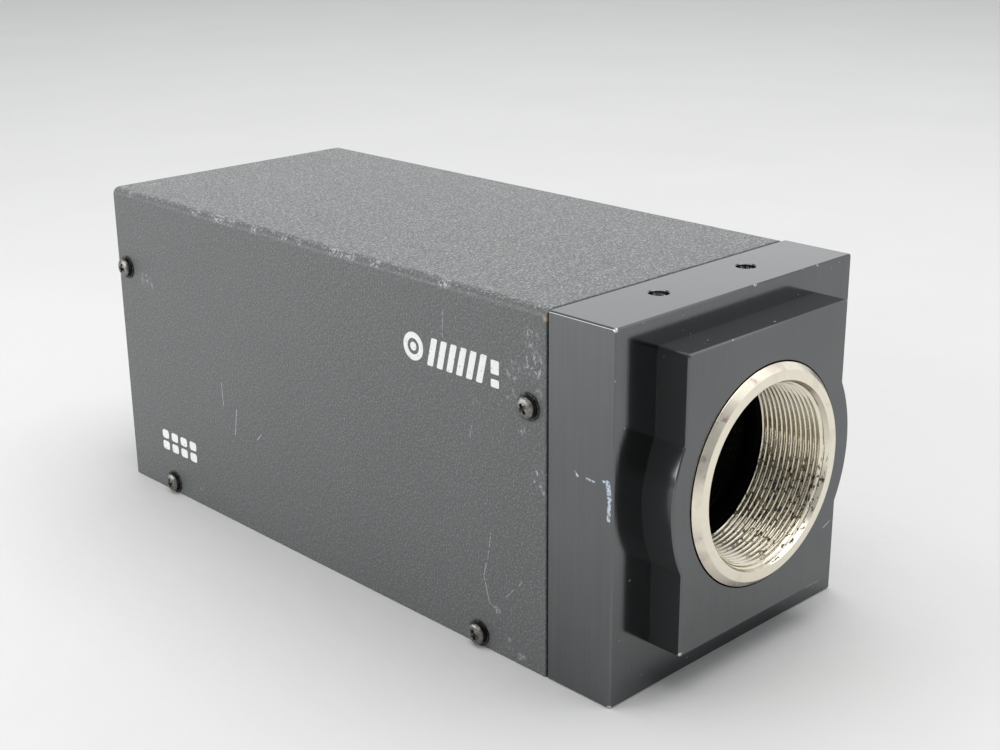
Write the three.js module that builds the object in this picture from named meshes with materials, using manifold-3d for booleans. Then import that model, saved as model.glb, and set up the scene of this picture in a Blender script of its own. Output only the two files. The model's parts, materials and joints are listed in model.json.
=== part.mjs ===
// A cooled, intensified camera head in a rectangular housing.
// Millimetres, +Z up, the lens mount looks along -Y. "Left" is -X, as seen from in front of the lens.
import * as THREE from "three";
import { mergeVertices } from "three/addons/utils/BufferGeometryUtils.js";
import Module from "manifold-3d";

const wasm = await Module();
wasm.setup();

// ---- Driving dimensions ----------------------------------------------------------------------

// Clearances
const seam = 0.25; // visible gap between the cover and the front plate
const slideFit = 0.15; // round what slides into the cover
const bearing = 0.02; // between two faces that bear on each other
const turningFit = 0.05; // radial, round a shaft that turns
const holeFit = 0.1; // radial, round a screw or a stud

// Housing
const bodyWidth = 48.2;
const bodyHeight = 50.8;
const coverLength = 100;
const sheet = 1;
const bendRadius = 1.2;
const sheetEdgeRadius = 0.1;
const baseThickness = 3.8;
const rearPanelThickness = 5;
const rearPanelCorner = 0.3;

// Front plate, with the raised block that carries the lens mount
const plateThickness = 11.1;
const plateCorner = 0.3;
const edgeChamfer = 0.2;
const blockWidth = 33;
const blockHeight = 40.6;
const blockDepth = 4.9;
const blockCorner = 0.5;
const bulgeWall = 3.55; // from the lens ring to the outside of the block's bulges
const tongueDepth = 7;
const axisAboveMiddle = 1.25;

// Lens mount ring, bored for a 1 inch thread
const threadCrestRadius = 12.25;
const threadLeadIn = 0.65; // radial
const threadLeadInDepth = 1.2;
const ringRim = 2.25; // from the lead-in to the outside
const ringProud = 1;
const ringBevel = 0.9;
const apertureStep = 0.75; // the aperture is this much narrower than the thread
const shoulderThickness = 1.2;
const setScrewRadius = 1.45;
const setScrewLength = 5;
const setScrewFromFront = 2.4;

// Tapped holes on top of the front plate
const topHoleSpacing = 17.8;
const topHoleRadius = 1.35;
const topHoleDepth = 6;
const topHoleFromSeam = 4.7;
const topHoleChamfer = 0.15;

// Side screws: distance behind the seam, height of the axis
const sideScrewPlaces = {
  front_upper: [3.3, bodyHeight - 13.4],
  front_lower: [12.9, baseThickness / 2],
  rear_lower: [coverLength - 12.1, baseThickness / 2],
  rear_upper: [coverLength - 2.6, bodyHeight - 13.1],
};
const sideScrewRadius = 0.95;
const sideScrewLength = 5;
const sideScrewTip = 0.3;
const sideHeadRim = 0.55; // from the shank to the head's edge
const sideHeadHeight = 0.7;
const lockWasherThickness = 0.3;
const flatWasherRim = 0.4; // from the head's edge to the washer's
const flatWasherThickness = 0.2;

// Base plate
const baseScrewRadius = 1.25;
const baseScrewHeadRadius = 2.4;
const baseScrewLength = 8;
const baseScrewX = 15;
const baseScrewInset = 3.4;
const tripodHoleRadius = 2.9;
const tripodBossRadius = 6;
const tripodBossHeight = 8;
const tripodBossRoof = 1.5; // left above the blind hole
const tripodBossGap = 1.75; // behind the tube's retainer

// Cross recesses, as shares of the head's radius
const crossArm = 0.6;
const crossSlot = 0.13;

// Image intensifier and sensor stack, from front to rear
const flangeFocalDistance = 17.526; // from the ring's face to the photocathode
const windowLap = 1; // of the shoulder over the input window
const inputWindowThickness = 5.3;
const sealInset = 3.5; // from the window's edge to the middle of the seal
const sealSection = 0.75;
const tubeRim = 2.4; // from the middle of the seal to the tube's outside
const tubeLength = 22;
const taperInputRadius = 9.9;
const taperOutputRadius = 6;
const taperSeatDepth = 5;
const taperLength = 17;
const taperTipLength = 1;
const retainerThickness = 2;
const retainerHoleFit = 1.1; // radial, round the taper
const stackGap = 1.6; // from the housing to the retainer and to the sensor board
const postRadius = 2.5;
const postFromSide = 4.95;
const postFromTop = 6;
const postFromBottom = 6.2;
const studRadius = 1.2;
const studLength = 3.4;
const sensorSize = [20, 2.8, 24];
const sensorWellDepth = 0.3;
const sensorLeadsPerRow = 6;
const sensorLeadSize = 0.5;
const sensorLeadInset = 1;
const sensorStandoff = 1.5;
const coldBlockSize = [10, 5.7, 12];
const coldBlockFit = 0.5;
const coolerSize = [18, 3.4, 18];
const spreaderWidth = 28;
const spreaderThickness = 4;
const spreaderFootLength = 5;
const spreaderFootThickness = 3;

// Main circuit boards
const boardThickness = 1.6;
const boardGapToSide = 2.4;
const boardGapToFittings = 0.5;
const boardGapToSpreader = 3.8;
const lowerBoardAboveBase = 8.2;
const spacerLength = 18.4;
const spacerAcrossFlats = 4.5;
const spacerInset = 3.7;
const spacerUpperStud = 2; // above the upper board

// Chips: x, place along the board as a share of its length, width, share of the length, height
const videoChips = [
  [-8, 0.2, 10, 0.18, 2],
  [8, 0.2, 10, 0.18, 2],
  [-8, 0.56, 8, 0.3, 2.6],
  [7, 0.56, 12, 0.3, 2.6],
  [0, 0.86, 14, 0.1, 5],
];
const powerChips = [
  [-13, 0.1, 5, 0.12, 4],
  [0, 0.1, 8, 0.12, 3],
  [13, 0.1, 5, 0.12, 4],
];

// High voltage supply and its lead, and the sensor's flat cable
const supplyHeight = 12.5;
const supplyCorner = 0.8;
const supplyFrontInset = 8.5;
const supplyRearInset = 3;
const supplyGapToSpacer = 3.8;
const leadRadius = 0.8;
const leadOffset = [-11.5, 11.5]; // its front end, from the lens axis
const leadEntry = [-10, 4.97]; // its rear end's x, and height above the supply's bottom
const leadArch = 1; // half way, above the rear end
const ribbonWidth = 5;
const ribbonThickness = 0.5;
const ribbonStartHeight = 22;
const ribbonSlack = 6;

// Rear panel fittings: x and height of each axis
const videoPlace = [-10.5, 35];
const powerPlace = [10.5, 35];
const gainPlace = [-10.5, 16];
const modePlace = [6.5, 16];
const ledPlace = [16.5, 16];
const fittingBodyDepth = 6; // of the controls' bodies, behind the panel
const flangeThickness = 1.2;
const tailBehindPanel = 1.5;
const nutRim = 1.6;
const nutThickness = 1.6;
const videoShellRadius = 4.8;
const videoShellLength = 13;
const videoShellWall = 0.75;
const videoFlangeRim = 1.2;
const videoLugRadius = 0.9;
const videoLugReach = 0.8;
const videoLugFromEnd = 4.95;
const videoInsertRadius = 2.4;
const videoInsertInset = 2;
const videoContactRadius = 0.7;
const videoContactStart = 3;
const powerShellRadius = 6;
const powerShellLength = 9;
const powerShellWall = 1.1;
const powerFlangeRim = 1.8;
const powerFlangeStep = 0.5;
const powerMouthBevel = 0.4;
const powerFloor = 0.5;
const powerInsertThickness = 2;
const powerPinCircles = [[3, 1.4], [9, 3.4]]; // pins in a circle, radius of the circle
const powerPinRadius = 0.4;
const powerPinInset = 2;
const gainShaftRadius = 1.6;
const gainShaftTail = 2.5;
const gainBushRadius = 3;
const gainBushLength = 3.2;
const gainBodySize = 9.5;
const gainKnobRadius = 6;
const gainKnobLength = 8.5;
const gainKnobGap = 0.8;
const gainKnobCap = 2; // left beyond the shaft
const gainKnobBevel = 0.8;
const gainKnobSkirt = 1.5;
const fluteCount = 12;
const fluteRadius = 0.7;
const fluteOutset = 0.2;
const pointerWidth = 0.8;
const pointerHeight = 0.3;
const pointerInset = 1;
const modeBushRadius = 2.4;
const modeBushLength = 5;
const modeBodySize = [8, 6.8];
const modeMouthRadius = 1.95;
const modePivotDepth = 3.2; // below the bush's mouth
const modeLeverTilt = 12.5;
const modeLeverLength = 9;
const modeLeverBall = 1.3;
const modeLeverNeck = 0.75;
const modeLeverNeckStart = 1.6;
const modeLeverNeckEnd = 2.6;
const modeLeverTip = 1.25;
const ledRadius = 1.5;
const ledRim = 0.4;
const ledRimLength = 1;
const ledStraight = 0.3;

// ---- What follows from them ------------------------------------------------------------------

const halfWidth = bodyWidth / 2;
const innerHalfWidth = halfWidth - sheet - slideFit;
const innerTop = bodyHeight - sheet - slideFit;
const innerBottom = baseThickness + slideFit;
const axisHeight = bodyHeight / 2 + axisAboveMiddle;
const plateFront = -plateThickness;
const blockFront = plateFront - blockDepth;
const blockBottom = axisHeight - blockHeight / 2;
const blockTop = axisHeight + blockHeight / 2;

const threadLeadInRadius = threadCrestRadius + threadLeadIn;
const ringRadius = threadLeadInRadius + ringRim;
const bulgeRadius = ringRadius + bulgeWall;
const apertureRadius = threadCrestRadius - apertureStep;
const ringFront = blockFront - ringProud;
const photocathode = ringFront + flangeFocalDistance;
const tubeFront = photocathode - inputWindowThickness;
const shoulderRear = tubeFront - bearing;
const shoulderFront = shoulderRear - shoulderThickness;
const ringRear = shoulderFront - bearing;
const setScrewY = plateFront + setScrewFromFront;

const sideHeadRadius = sideScrewRadius + sideHeadRim;
const flatWasherRadius = sideHeadRadius + flatWasherRim;

const inputWindowRadius = apertureRadius + windowLap;
const sealRadius = inputWindowRadius + sealInset;
const tubeRadius = sealRadius + tubeRim;
const tubeRear = tubeFront + tubeLength;
const taperFront = tubeRear - taperSeatDepth;
const taperRear = taperFront + taperLength;
const retainerFront = tubeRear + bearing;
const retainerRear = retainerFront + retainerThickness;
const tripodHoleY = retainerRear + tripodBossGap + tripodBossRadius;
const sensorFront = taperRear + bearing;
const sensorBoardFront = sensorFront + sensorSize[1] + sensorStandoff;
const sensorBoardRear = sensorBoardFront + boardThickness;
const postFront = tongueDepth + bearing;
const postLength = sensorBoardFront - bearing - postFront;
const postX = innerHalfWidth - postFromSide;
const postCentres = [innerTop - postFromTop, innerBottom + postFromBottom].flatMap(
  (z) => [[-postX, z], [postX, z]],
);
const coldBlockFront = sensorFront + sensorSize[1] + bearing;
const coolerFront = coldBlockFront + coldBlockSize[1] + bearing;
const spreaderFront = coolerFront + coolerSize[1] + bearing;
const spreaderRear = spreaderFront + spreaderThickness;
const spreaderTop = axisHeight + coolerSize[2] / 2;

const panelFront = coverLength - rearPanelThickness;
const fittingBack = -rearPanelThickness - bearing; // in a fitting's own group
const fittingTail = -rearPanelThickness - tailBehindPanel;
const boardHalfWidth = innerHalfWidth - boardGapToSide;
const boardFront = spreaderRear + boardGapToSpreader;
const boardRear = coverLength + fittingBack - fittingBodyDepth - boardGapToFittings;
const boardLength = boardRear - boardFront;
const lowerBoardHeight = baseThickness + lowerBoardAboveBase;
const spacerBottom = lowerBoardHeight + boardThickness + 2 * bearing;
const upperBoardHeight = spacerBottom + spacerLength;
const spacerX = boardHalfWidth - spacerInset;
const spacerCentres = [boardFront + spacerInset, boardRear - spacerInset].flatMap(
  (y) => [[-spacerX, y], [spacerX, y]],
);
const supplyFront = boardFront + supplyFrontInset;
const supplyRear = boardRear - supplyRearInset;
const supplyBottom = upperBoardHeight + boardThickness + 2 * bearing;
const supplyHalfWidth = spacerX - supplyGapToSpacer;

const videoBore = videoShellRadius - videoShellWall;
const videoThreadRadius = videoShellRadius - holeFit;
const videoFloor = flangeThickness + 1;
const powerBore = powerShellRadius - powerShellWall;
const knobFront = gainBushLength + gainKnobGap;
const knobEnd = knobFront + gainKnobLength;
const leverPivot = modeBushLength - modePivotDepth;
const rearmost = coverLength + videoShellLength;
const lengthCentre = (ringFront + rearmost) / 2;

// ---- Materials -------------------------------------------------------------------------------

function finish(color, roughness, metalness) {
  return () => new THREE.MeshStandardMaterial({ color, roughness, metalness });
}

const anodised = finish(0x2b2d2f, 0.45, 0.3);
const texturedPaint = finish(0x3f4346, 0.6, 0.1);
const nickel = finish(0xcfc6b8, 0.25, 1);
const blackSteel = finish(0x3a3835, 0.35, 0.9);
const brightSteel = finish(0xb5b5b2, 0.3, 1);
const aluminium = finish(0xa9adb0, 0.4, 0.9);
const copper = finish(0xb5713f, 0.35, 1);
const brass = finish(0xb89a55, 0.35, 1);
const rubber = finish(0x1c1c1c, 0.85, 0);
const blackPlastic = finish(0x1b1c1d, 0.5, 0);
const whitePlastic = finish(0xe6e3da, 0.45, 0);
const ceramic = finish(0xdedcd4, 0.5, 0);
const glass = finish(0xb9c7c9, 0.05, 0);
const board = finish(0x1f5a38, 0.5, 0);
const ribbonGrey = finish(0x8d8f92, 0.6, 0);
const ledRed = finish(0x8a1712, 0.2, 0);

// ---- Solids ----------------------------------------------------------------------------------

// Sides of a turned piece: what fits together has the same number of them.
const boreSegments = 40;
const tubeSegments = 28;
const smallSegments = 10;

// A closed geometry as a manifold-3d solid.
function solid(geometry) {
  const bare = geometry.clone();
  bare.deleteAttribute("normal");
  bare.deleteAttribute("uv");
  const merged = mergeVertices(bare, 1e-4);
  return new wasm.Manifold(
    new wasm.Mesh({
      numProp: 3,
      vertProperties: merged.attributes.position.array,
      triVerts: new Uint32Array(merged.index.array),
    }),
  );
}

// A manifold-3d solid as a geometry with flat faces.
function geometryOf(made) {
  const { vertProperties, triVerts } = made.getMesh();
  const indexed = new THREE.BufferGeometry();
  indexed.setAttribute("position", new THREE.BufferAttribute(vertProperties, 3));
  indexed.setIndex(new THREE.BufferAttribute(triVerts, 1));
  const flat = indexed.toNonIndexed();
  flat.computeVertexNormals();
  return flat;
}

function join(first, ...others) {
  return geometryOf(others.reduce((sum, g) => sum.add(solid(g)), solid(first)));
}

function cut(from, ...tools) {
  return geometryOf(tools.reduce((rest, g) => rest.subtract(solid(g)), solid(from)));
}

// A box between two corners.
function block([x0, y0, z0], [x1, y1, z1]) {
  const geometry = new THREE.BoxGeometry(x1 - x0, y1 - y0, z1 - z0);
  return geometry.translate((x0 + x1) / 2, (y0 + y1) / 2, (z0 + z1) / 2);
}

// A box of size [x, y, z] that starts at y and is centred on x = 0 and the given height.
function centredBlock([sx, sy, sz], y, height = 0) {
  return block([-sx / 2, y, height - sz / 2], [sx / 2, y + sy, height + sz / 2]);
}

// A profile of [radius, y] points turned round the Y axis.
function turned(profile, segments = 24) {
  return new THREE.LatheGeometry(profile.map(([r, y]) => new THREE.Vector2(r, y)), segments);
}

// A plain disc or rod round the Y axis, from y0 to y1.
function rod(radius, y0, y1, segments = 20) {
  return turned([[0, y0], [radius, y0], [radius, y1], [0, y1]], segments);
}

// A plain ring round the Y axis.
function ring(inner, outer, y0, y1, segments = 20) {
  const profile = [[inner, y0], [outer, y0], [outer, y1], [inner, y1], [inner, y0]];
  return turned(profile, segments);
}

// An outline in X and Z, given a depth from y0 to y1 and, if asked, a chamfer at both ends.
function extrudedAlongY(outline, y0, y1, chamfer = 0, curveSegments = 2) {
  const geometry = new THREE.ExtrudeGeometry(outline, {
    depth: y1 - y0 - 2 * chamfer,
    bevelEnabled: chamfer > 0,
    bevelThickness: chamfer,
    bevelSize: chamfer,
    bevelOffset: -chamfer,
    bevelSegments: 1,
    curveSegments,
  });
  return geometry.rotateX(Math.PI / 2).translate(0, y1 - chamfer, 0);
}

function roundedRectangle(x0, z0, x1, z1, bottomRadius, topRadius = bottomRadius) {
  const outline = new THREE.Shape();
  outline.moveTo(x0 + bottomRadius, z0);
  outline.lineTo(x1 - bottomRadius, z0);
  outline.absarc(x1 - bottomRadius, z0 + bottomRadius, bottomRadius, -Math.PI / 2, 0);
  outline.absarc(x1 - topRadius, z1 - topRadius, topRadius, 0, Math.PI / 2);
  outline.absarc(x0 + topRadius, z1 - topRadius, topRadius, Math.PI / 2, Math.PI);
  outline.absarc(x0 + bottomRadius, z0 + bottomRadius, bottomRadius, Math.PI, 1.5 * Math.PI);
  return outline;
}

// ---- Building the tree -----------------------------------------------------------------------

const camera = new THREE.Group();
camera.position.y = -lengthCentre;

// What is on the lens axis hangs in a group at the axis height.
const optics = new THREE.Group();
optics.position.z = axisHeight;
camera.add(optics);

function place(parent, name, geometry, material, [x, y, z] = [0, 0, 0]) {
  const mesh = new THREE.Mesh(geometry, material());
  mesh.name = name;
  mesh.position.set(x, y, z);
  parent.add(mesh);
  return mesh;
}

// A group at a rear panel fitting, whose own y = 0 is the panel's outer face.
function panelGroup([x, z]) {
  const group = new THREE.Group();
  group.position.set(x, coverLength, z);
  camera.add(group);
  return group;
}

const sides = { left: -1, right: 1 };

// ---- Screw holes that several pieces share ---------------------------------------------------

// One rod along X through every piece that a side screw passes.
function sideScrewHole(sign, [y, z]) {
  const depth = sideScrewLength + sheet;
  const hole = rod(sideScrewRadius + holeFit, 0, depth, smallSegments);
  hole.rotateZ((sign * Math.PI) / 2);
  return hole.translate(sign * (halfWidth + sheet / 2), y, z);
}

function sideScrewHoles(...places) {
  const tools = [];
  for (const key of places) {
    for (const sign of Object.values(sides)) {
      tools.push(sideScrewHole(sign, sideScrewPlaces[key]));
    }
  }
  return tools;
}

function baseScrewCentres(y) {
  return [[-baseScrewX, y], [baseScrewX, y]];
}

const frontBaseScrews = baseScrewCentres(baseScrewInset);
const rearBaseScrews = baseScrewCentres(coverLength - rearPanelThickness / 2);

// The tapped part of a base screw's hole, upwards from the base plate.
function baseScrewHole([x, y]) {
  const hole = rod(baseScrewRadius + holeFit, 0, baseScrewLength + 1, smallSegments);
  return hole.rotateX(Math.PI / 2).translate(x, y, 0);
}

// ---- Front plate and lens mount --------------------------------------------------------------

// The block's sides bulge where the wall round the lens ring is wider than the block.
const bulgeAngle = Math.acos(Math.min(blockWidth / 2 / bulgeRadius, 1));

function blockOutline() {
  const half = blockWidth / 2;
  const outline = new THREE.Shape();
  outline.moveTo(-half + blockCorner, blockBottom);
  outline.lineTo(half - blockCorner, blockBottom);
  outline.absarc(half - blockCorner, blockBottom + blockCorner, blockCorner, -Math.PI / 2, 0);
  if (bulgeRadius > half) {
    outline.absarc(0, axisHeight, bulgeRadius, -bulgeAngle, bulgeAngle);
  }
  outline.absarc(half - blockCorner, blockTop - blockCorner, blockCorner, 0, Math.PI / 2);
  outline.absarc(-half + blockCorner, blockTop - blockCorner, blockCorner, Math.PI / 2, Math.PI);
  if (bulgeRadius > half) {
    outline.absarc(0, axisHeight, bulgeRadius, Math.PI - bulgeAngle, Math.PI + bulgeAngle);
  }
  outline.absarc(-half + blockCorner, blockBottom + blockCorner, blockCorner, Math.PI, 1.5 * Math.PI);
  return outline;
}

// The stepped bore: ring seat, aperture, and the seat of the intensifier tube.
function plateBore() {
  const seat = ringRadius + bearing;
  const tubeSeat = tubeRadius + slideFit;
  const profile = [
    [0, blockFront - 1],
    [seat, blockFront - 1],
    [seat, shoulderFront],
    [apertureRadius, shoulderFront],
    [apertureRadius, shoulderRear],
    [tubeSeat, shoulderRear],
    [tubeSeat, tongueDepth + 1],
    [0, tongueDepth + 1],
  ];
  return turned(profile, boreSegments).translate(0, 0, axisHeight);
}

// A tapped hole in the top face, with a small countersink.
function topHole(x) {
  const mouth = topHoleRadius + topHoleChamfer;
  const hole = turned([
    [0, -topHoleDepth],
    [topHoleRadius, -topHoleDepth],
    [topHoleRadius, -topHoleChamfer],
    [mouth, 0],
    [mouth, 1],
    [0, 1],
  ], 16);
  return hole.rotateX(Math.PI / 2).translate(x, -topHoleFromSeam, bodyHeight);
}

function setScrewHole() {
  const hole = rod(setScrewRadius + holeFit, -1, axisHeight - ringRadius + 1, smallSegments);
  return hole.rotateX(Math.PI / 2).translate(0, setScrewY, 0);
}

function postHoles(radius, y0, y1) {
  return postCentres.map(([x, z]) => rod(radius, y0, y1, smallSegments).translate(x, 0, z));
}

function frontPlate() {
  const plate = roundedRectangle(-halfWidth, 0, halfWidth, bodyHeight, plateCorner);
  const tongue = block(
    [-innerHalfWidth, -edgeChamfer, innerBottom],
    [innerHalfWidth, tongueDepth, innerTop],
  );
  const whole = join(
    extrudedAlongY(plate, plateFront, 0, edgeChamfer),
    extrudedAlongY(blockOutline(), blockFront, plateFront + 1, edgeChamfer, 4),
    tongue,
  );
  return cut(
    whole,
    plateBore(),
    setScrewHole(),
    ...[-1, 1].map((sign) => topHole((sign * topHoleSpacing) / 2)),
    ...sideScrewHoles("front_upper"),
    ...frontBaseScrews.map(baseScrewHole),
    ...postHoles(studRadius + holeFit, tongueDepth - studLength - bearing, tongueDepth + 1),
  );
}

function lensRing() {
  return turned([
    [threadCrestRadius, ringFront + threadLeadInDepth],
    [threadLeadInRadius, ringFront],
    [ringRadius - ringBevel, ringFront],
    [ringRadius, ringFront + ringBevel],
    [ringRadius, ringRear],
    [threadCrestRadius, ringRear],
    [threadCrestRadius, ringFront + threadLeadInDepth],
  ], boreSegments);
}

function setScrew() {
  const top = axisHeight - ringRadius - holeFit;
  const socket = rod(setScrewRadius / 2, -1, setScrewLength / 2, 6);
  const screw = cut(rod(setScrewRadius, 0, setScrewLength, smallSegments), socket);
  return screw.rotateX(Math.PI / 2).translate(0, setScrewY, top - setScrewLength);
}

place(camera, "front_plate", frontPlate(), anodised);
place(optics, "lens_ring", lensRing(), nickel);
place(camera, "ring_set_screw", setScrew(), blackSteel);

// ---- Cover, base plate and rear panel --------------------------------------------------------

// A folded sheet, open below.
function cover() {
  const innerRadius = Math.max(bendRadius - sheet, sheetEdgeRadius);
  const innerHalf = halfWidth - sheet;
  const edge = sheetEdgeRadius;
  const outer = roundedRectangle(-halfWidth, 0, halfWidth, bodyHeight, edge, bendRadius);
  const inner = roundedRectangle(-innerHalf, -1, innerHalf, bodyHeight - sheet, edge, innerRadius);
  return cut(
    extrudedAlongY(outer, seam, coverLength, 0, 3),
    extrudedAlongY(inner, seam - 1, coverLength + 1),
    ...sideScrewHoles(...Object.keys(sideScrewPlaces)),
  );
}

// A post that stands on the inner face of the base plate and carries the lower board.
function basePost([x, y]) {
  const post = rod(spacerAcrossFlats / 2, 0, lowerBoardHeight - baseThickness + 1, smallSegments);
  return post.rotateX(Math.PI / 2).translate(x, y, baseThickness - 1);
}

function basePostHole([x, y]) {
  const hole = rod(studRadius + holeFit, 0, studLength + 1 + bearing, smallSegments);
  return hole.rotateX(Math.PI / 2).translate(x, y, lowerBoardHeight - studLength - bearing);
}

// The countersunk clearance hole of a base screw, with its wide end down.
function countersunkHole([x, y]) {
  const wide = baseScrewHeadRadius + holeFit;
  const narrow = baseScrewRadius + holeFit;
  const hole = turned([
    [0, -1],
    [wide, -1],
    [wide, 0],
    [narrow, wide - narrow],
    [narrow, baseThickness + 1],
    [0, baseThickness + 1],
  ], smallSegments);
  return hole.rotateX(Math.PI / 2).translate(x, y, 0);
}

function basePlate() {
  const boss = rod(tripodBossRadius, 0, tripodBossHeight - 1);
  const tripod = rod(tripodHoleRadius, -1, tripodBossHeight - tripodBossRoof);
  const plate = block([-innerHalfWidth, bearing, 0], [innerHalfWidth, coverLength, baseThickness]);
  const whole = join(
    plate,
    boss.rotateX(Math.PI / 2).translate(0, tripodHoleY, 1),
    ...spacerCentres.map(basePost),
  );
  return cut(
    whole,
    tripod.rotateX(Math.PI / 2).translate(0, tripodHoleY, 0),
    ...spacerCentres.map(basePostHole),
    ...frontBaseScrews.map(countersunkHole),
    ...rearBaseScrews.map(countersunkHole),
    ...sideScrewHoles("front_lower", "rear_lower"),
  );
}

function panelHole([x, z], radius) {
  return rod(radius, panelFront - 1, coverLength + 1).translate(x, 0, z);
}

function rearPanel() {
  const half = innerHalfWidth;
  const panel = roundedRectangle(-half, innerBottom, half, innerTop, rearPanelCorner);
  return cut(
    extrudedAlongY(panel, panelFront, coverLength),
    panelHole(videoPlace, videoThreadRadius + holeFit),
    panelHole(powerPlace, powerShellRadius + holeFit),
    panelHole(gainPlace, gainBushRadius + holeFit),
    panelHole(modePlace, modeBushRadius + holeFit),
    panelHole(ledPlace, ledRadius + holeFit),
    ...sideScrewHoles("rear_upper"),
    ...rearBaseScrews.map(baseScrewHole),
  );
}

place(camera, "cover", cover(), texturedPaint);
place(camera, "base_plate", basePlate(), anodised);
place(camera, "rear_panel", rearPanel(), anodised);

// ---- Screws and washers ----------------------------------------------------------------------

// Turned round Y: the shank goes to -Y, the head stands to +Y, and y = 0 is the cover's face.
function sideScrew() {
  const underHead = flatWasherThickness + 2 * bearing;
  const headBottom = underHead + lockWasherThickness;
  const top = headBottom + sideHeadHeight;
  const tip = -sideScrewLength;
  const screw = turned([
    [0, tip],
    [sideScrewRadius - sideScrewTip, tip],
    [sideScrewRadius, tip + sideScrewTip],
    [sideScrewRadius, underHead],
    [sideHeadRadius, underHead],
    [sideHeadRadius, headBottom + 0.3 * sideHeadHeight],
    [0.85 * sideHeadRadius, headBottom + 0.8 * sideHeadHeight],
    [0.5 * sideHeadRadius, top],
    [0, top],
  ], smallSegments);
  const arm = crossArm * sideHeadRadius;
  const slot = crossSlot * sideHeadRadius;
  const floor = top - 0.6 * sideHeadHeight;
  return cut(
    screw,
    block([-arm, floor, -slot], [arm, top + 1, slot]),
    block([-slot, floor, -arm], [slot, top + 1, arm]),
  );
}

function flatWasher() {
  const hole = sideScrewRadius + holeFit;
  return ring(hole, flatWasherRadius, bearing, bearing + flatWasherThickness, smallSegments);
}

for (const [side, sign] of Object.entries(sides)) {
  for (const [key, [y, z]] of Object.entries(sideScrewPlaces)) {
    const group = new THREE.Group();
    group.position.set(sign * halfWidth, y, z);
    group.rotation.z = (-sign * Math.PI) / 2;
    camera.add(group);
    place(group, `side_screw_${side}_${key}`, sideScrew(), blackSteel);
    place(group, `side_washer_${side}_${key}`, flatWasher(), blackSteel);
  }
}

// A countersunk screw that points up, its head level with the base plate's lower face.
function baseScrew() {
  const screw = turned([
    [0, bearing],
    [baseScrewHeadRadius, bearing],
    [baseScrewRadius, bearing + baseScrewHeadRadius - baseScrewRadius],
    [baseScrewRadius, baseScrewLength],
    [0, baseScrewLength],
  ], smallSegments);
  const arm = crossArm * baseScrewHeadRadius;
  const slot = crossSlot * baseScrewHeadRadius;
  const floor = bearing + 0.45 * baseScrewHeadRadius;
  const crossed = cut(
    screw,
    block([-arm, -1, -slot], [arm, floor, slot]),
    block([-slot, -1, -arm], [slot, floor, arm]),
  );
  return crossed.rotateX(Math.PI / 2);
}

[...frontBaseScrews, ...rearBaseScrews].forEach(([x, y], index) => {
  place(camera, `base_screw_${index + 1}`, baseScrew(), blackSteel, [x, y, 0]);
});

// ---- Intensifier tube and sensor stack -------------------------------------------------------

// The potted tube: a pocket for the input window and the seal in front, one for the taper behind.
function tubeHousing() {
  const groove = sealSection + holeFit;
  const grooveFloor = tubeFront + 2 * sealSection + holeFit;
  const windowPocket = inputWindowRadius + turningFit;
  const taperPocket = taperInputRadius + turningFit;
  return turned([
    [0, photocathode + bearing],
    [windowPocket, photocathode + bearing],
    [windowPocket, tubeFront],
    [sealRadius - groove, tubeFront],
    [sealRadius - groove, grooveFloor],
    [sealRadius + groove, grooveFloor],
    [sealRadius + groove, tubeFront],
    [tubeRadius, tubeFront],
    [tubeRadius, tubeRear],
    [taperPocket, tubeRear],
    [taperPocket, taperFront - bearing],
    [0, taperFront - bearing],
  ], tubeSegments);
}

function tubeSeal() {
  const seal = new THREE.TorusGeometry(sealRadius, sealSection, 6, 28);
  return seal.rotateX(Math.PI / 2).translate(0, tubeFront + sealSection, 0);
}

function fibreTaper() {
  return turned([
    [0, taperFront],
    [taperInputRadius, taperFront],
    [taperInputRadius, tubeRear + bearing],
    [taperOutputRadius, taperRear - taperTipLength],
    [taperOutputRadius, taperRear],
    [0, taperRear],
  ], tubeSegments);
}

// Where the high voltage lead passes through a plate.
function leadHole(y0, y1) {
  const [x, dz] = leadOffset;
  return rod(leadRadius + 2 * holeFit, y0, y1, smallSegments).translate(x, 0, dz + axisHeight);
}

// A plate across the housing, which the posts carry or pass through.
function stackPlate(y0, y1) {
  const half = innerHalfWidth - stackGap;
  return block([-half, y0, innerBottom + stackGap], [half, y1, innerTop - stackGap]);
}

function tubeRetainer() {
  const y0 = retainerFront - 1;
  const y1 = retainerRear + 1;
  const opening = rod(taperInputRadius + retainerHoleFit, y0, y1);
  return cut(
    stackPlate(retainerFront, retainerRear),
    opening.translate(0, 0, axisHeight),
    leadHole(y0, y1),
    ...postHoles(postRadius + 2 * holeFit, y0, y1),
  );
}

// A spacer with a stud at each end.
function stackPost() {
  const rear = postFront + postLength;
  return turned([
    [0, postFront - studLength],
    [studRadius, postFront - studLength],
    [studRadius, postFront],
    [postRadius, postFront],
    [postRadius, rear],
    [studRadius, rear],
    [studRadius, rear + studLength],
    [0, rear + studLength],
  ], smallSegments);
}

place(optics, "intensifier_tube", tubeHousing(), blackPlastic);
place(
  optics,
  "input_window",
  rod(inputWindowRadius, tubeFront, photocathode, tubeSegments),
  glass,
);
place(optics, "tube_seal", tubeSeal(), rubber);
place(optics, "fibre_taper", fibreTaper(), glass);
place(camera, "tube_retainer", tubeRetainer(), aluminium);
postCentres.forEach(([x, z], index) => {
  place(camera, `stack_post_${index + 1}`, stackPost(), brass, [x, 0, z]);
});

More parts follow.
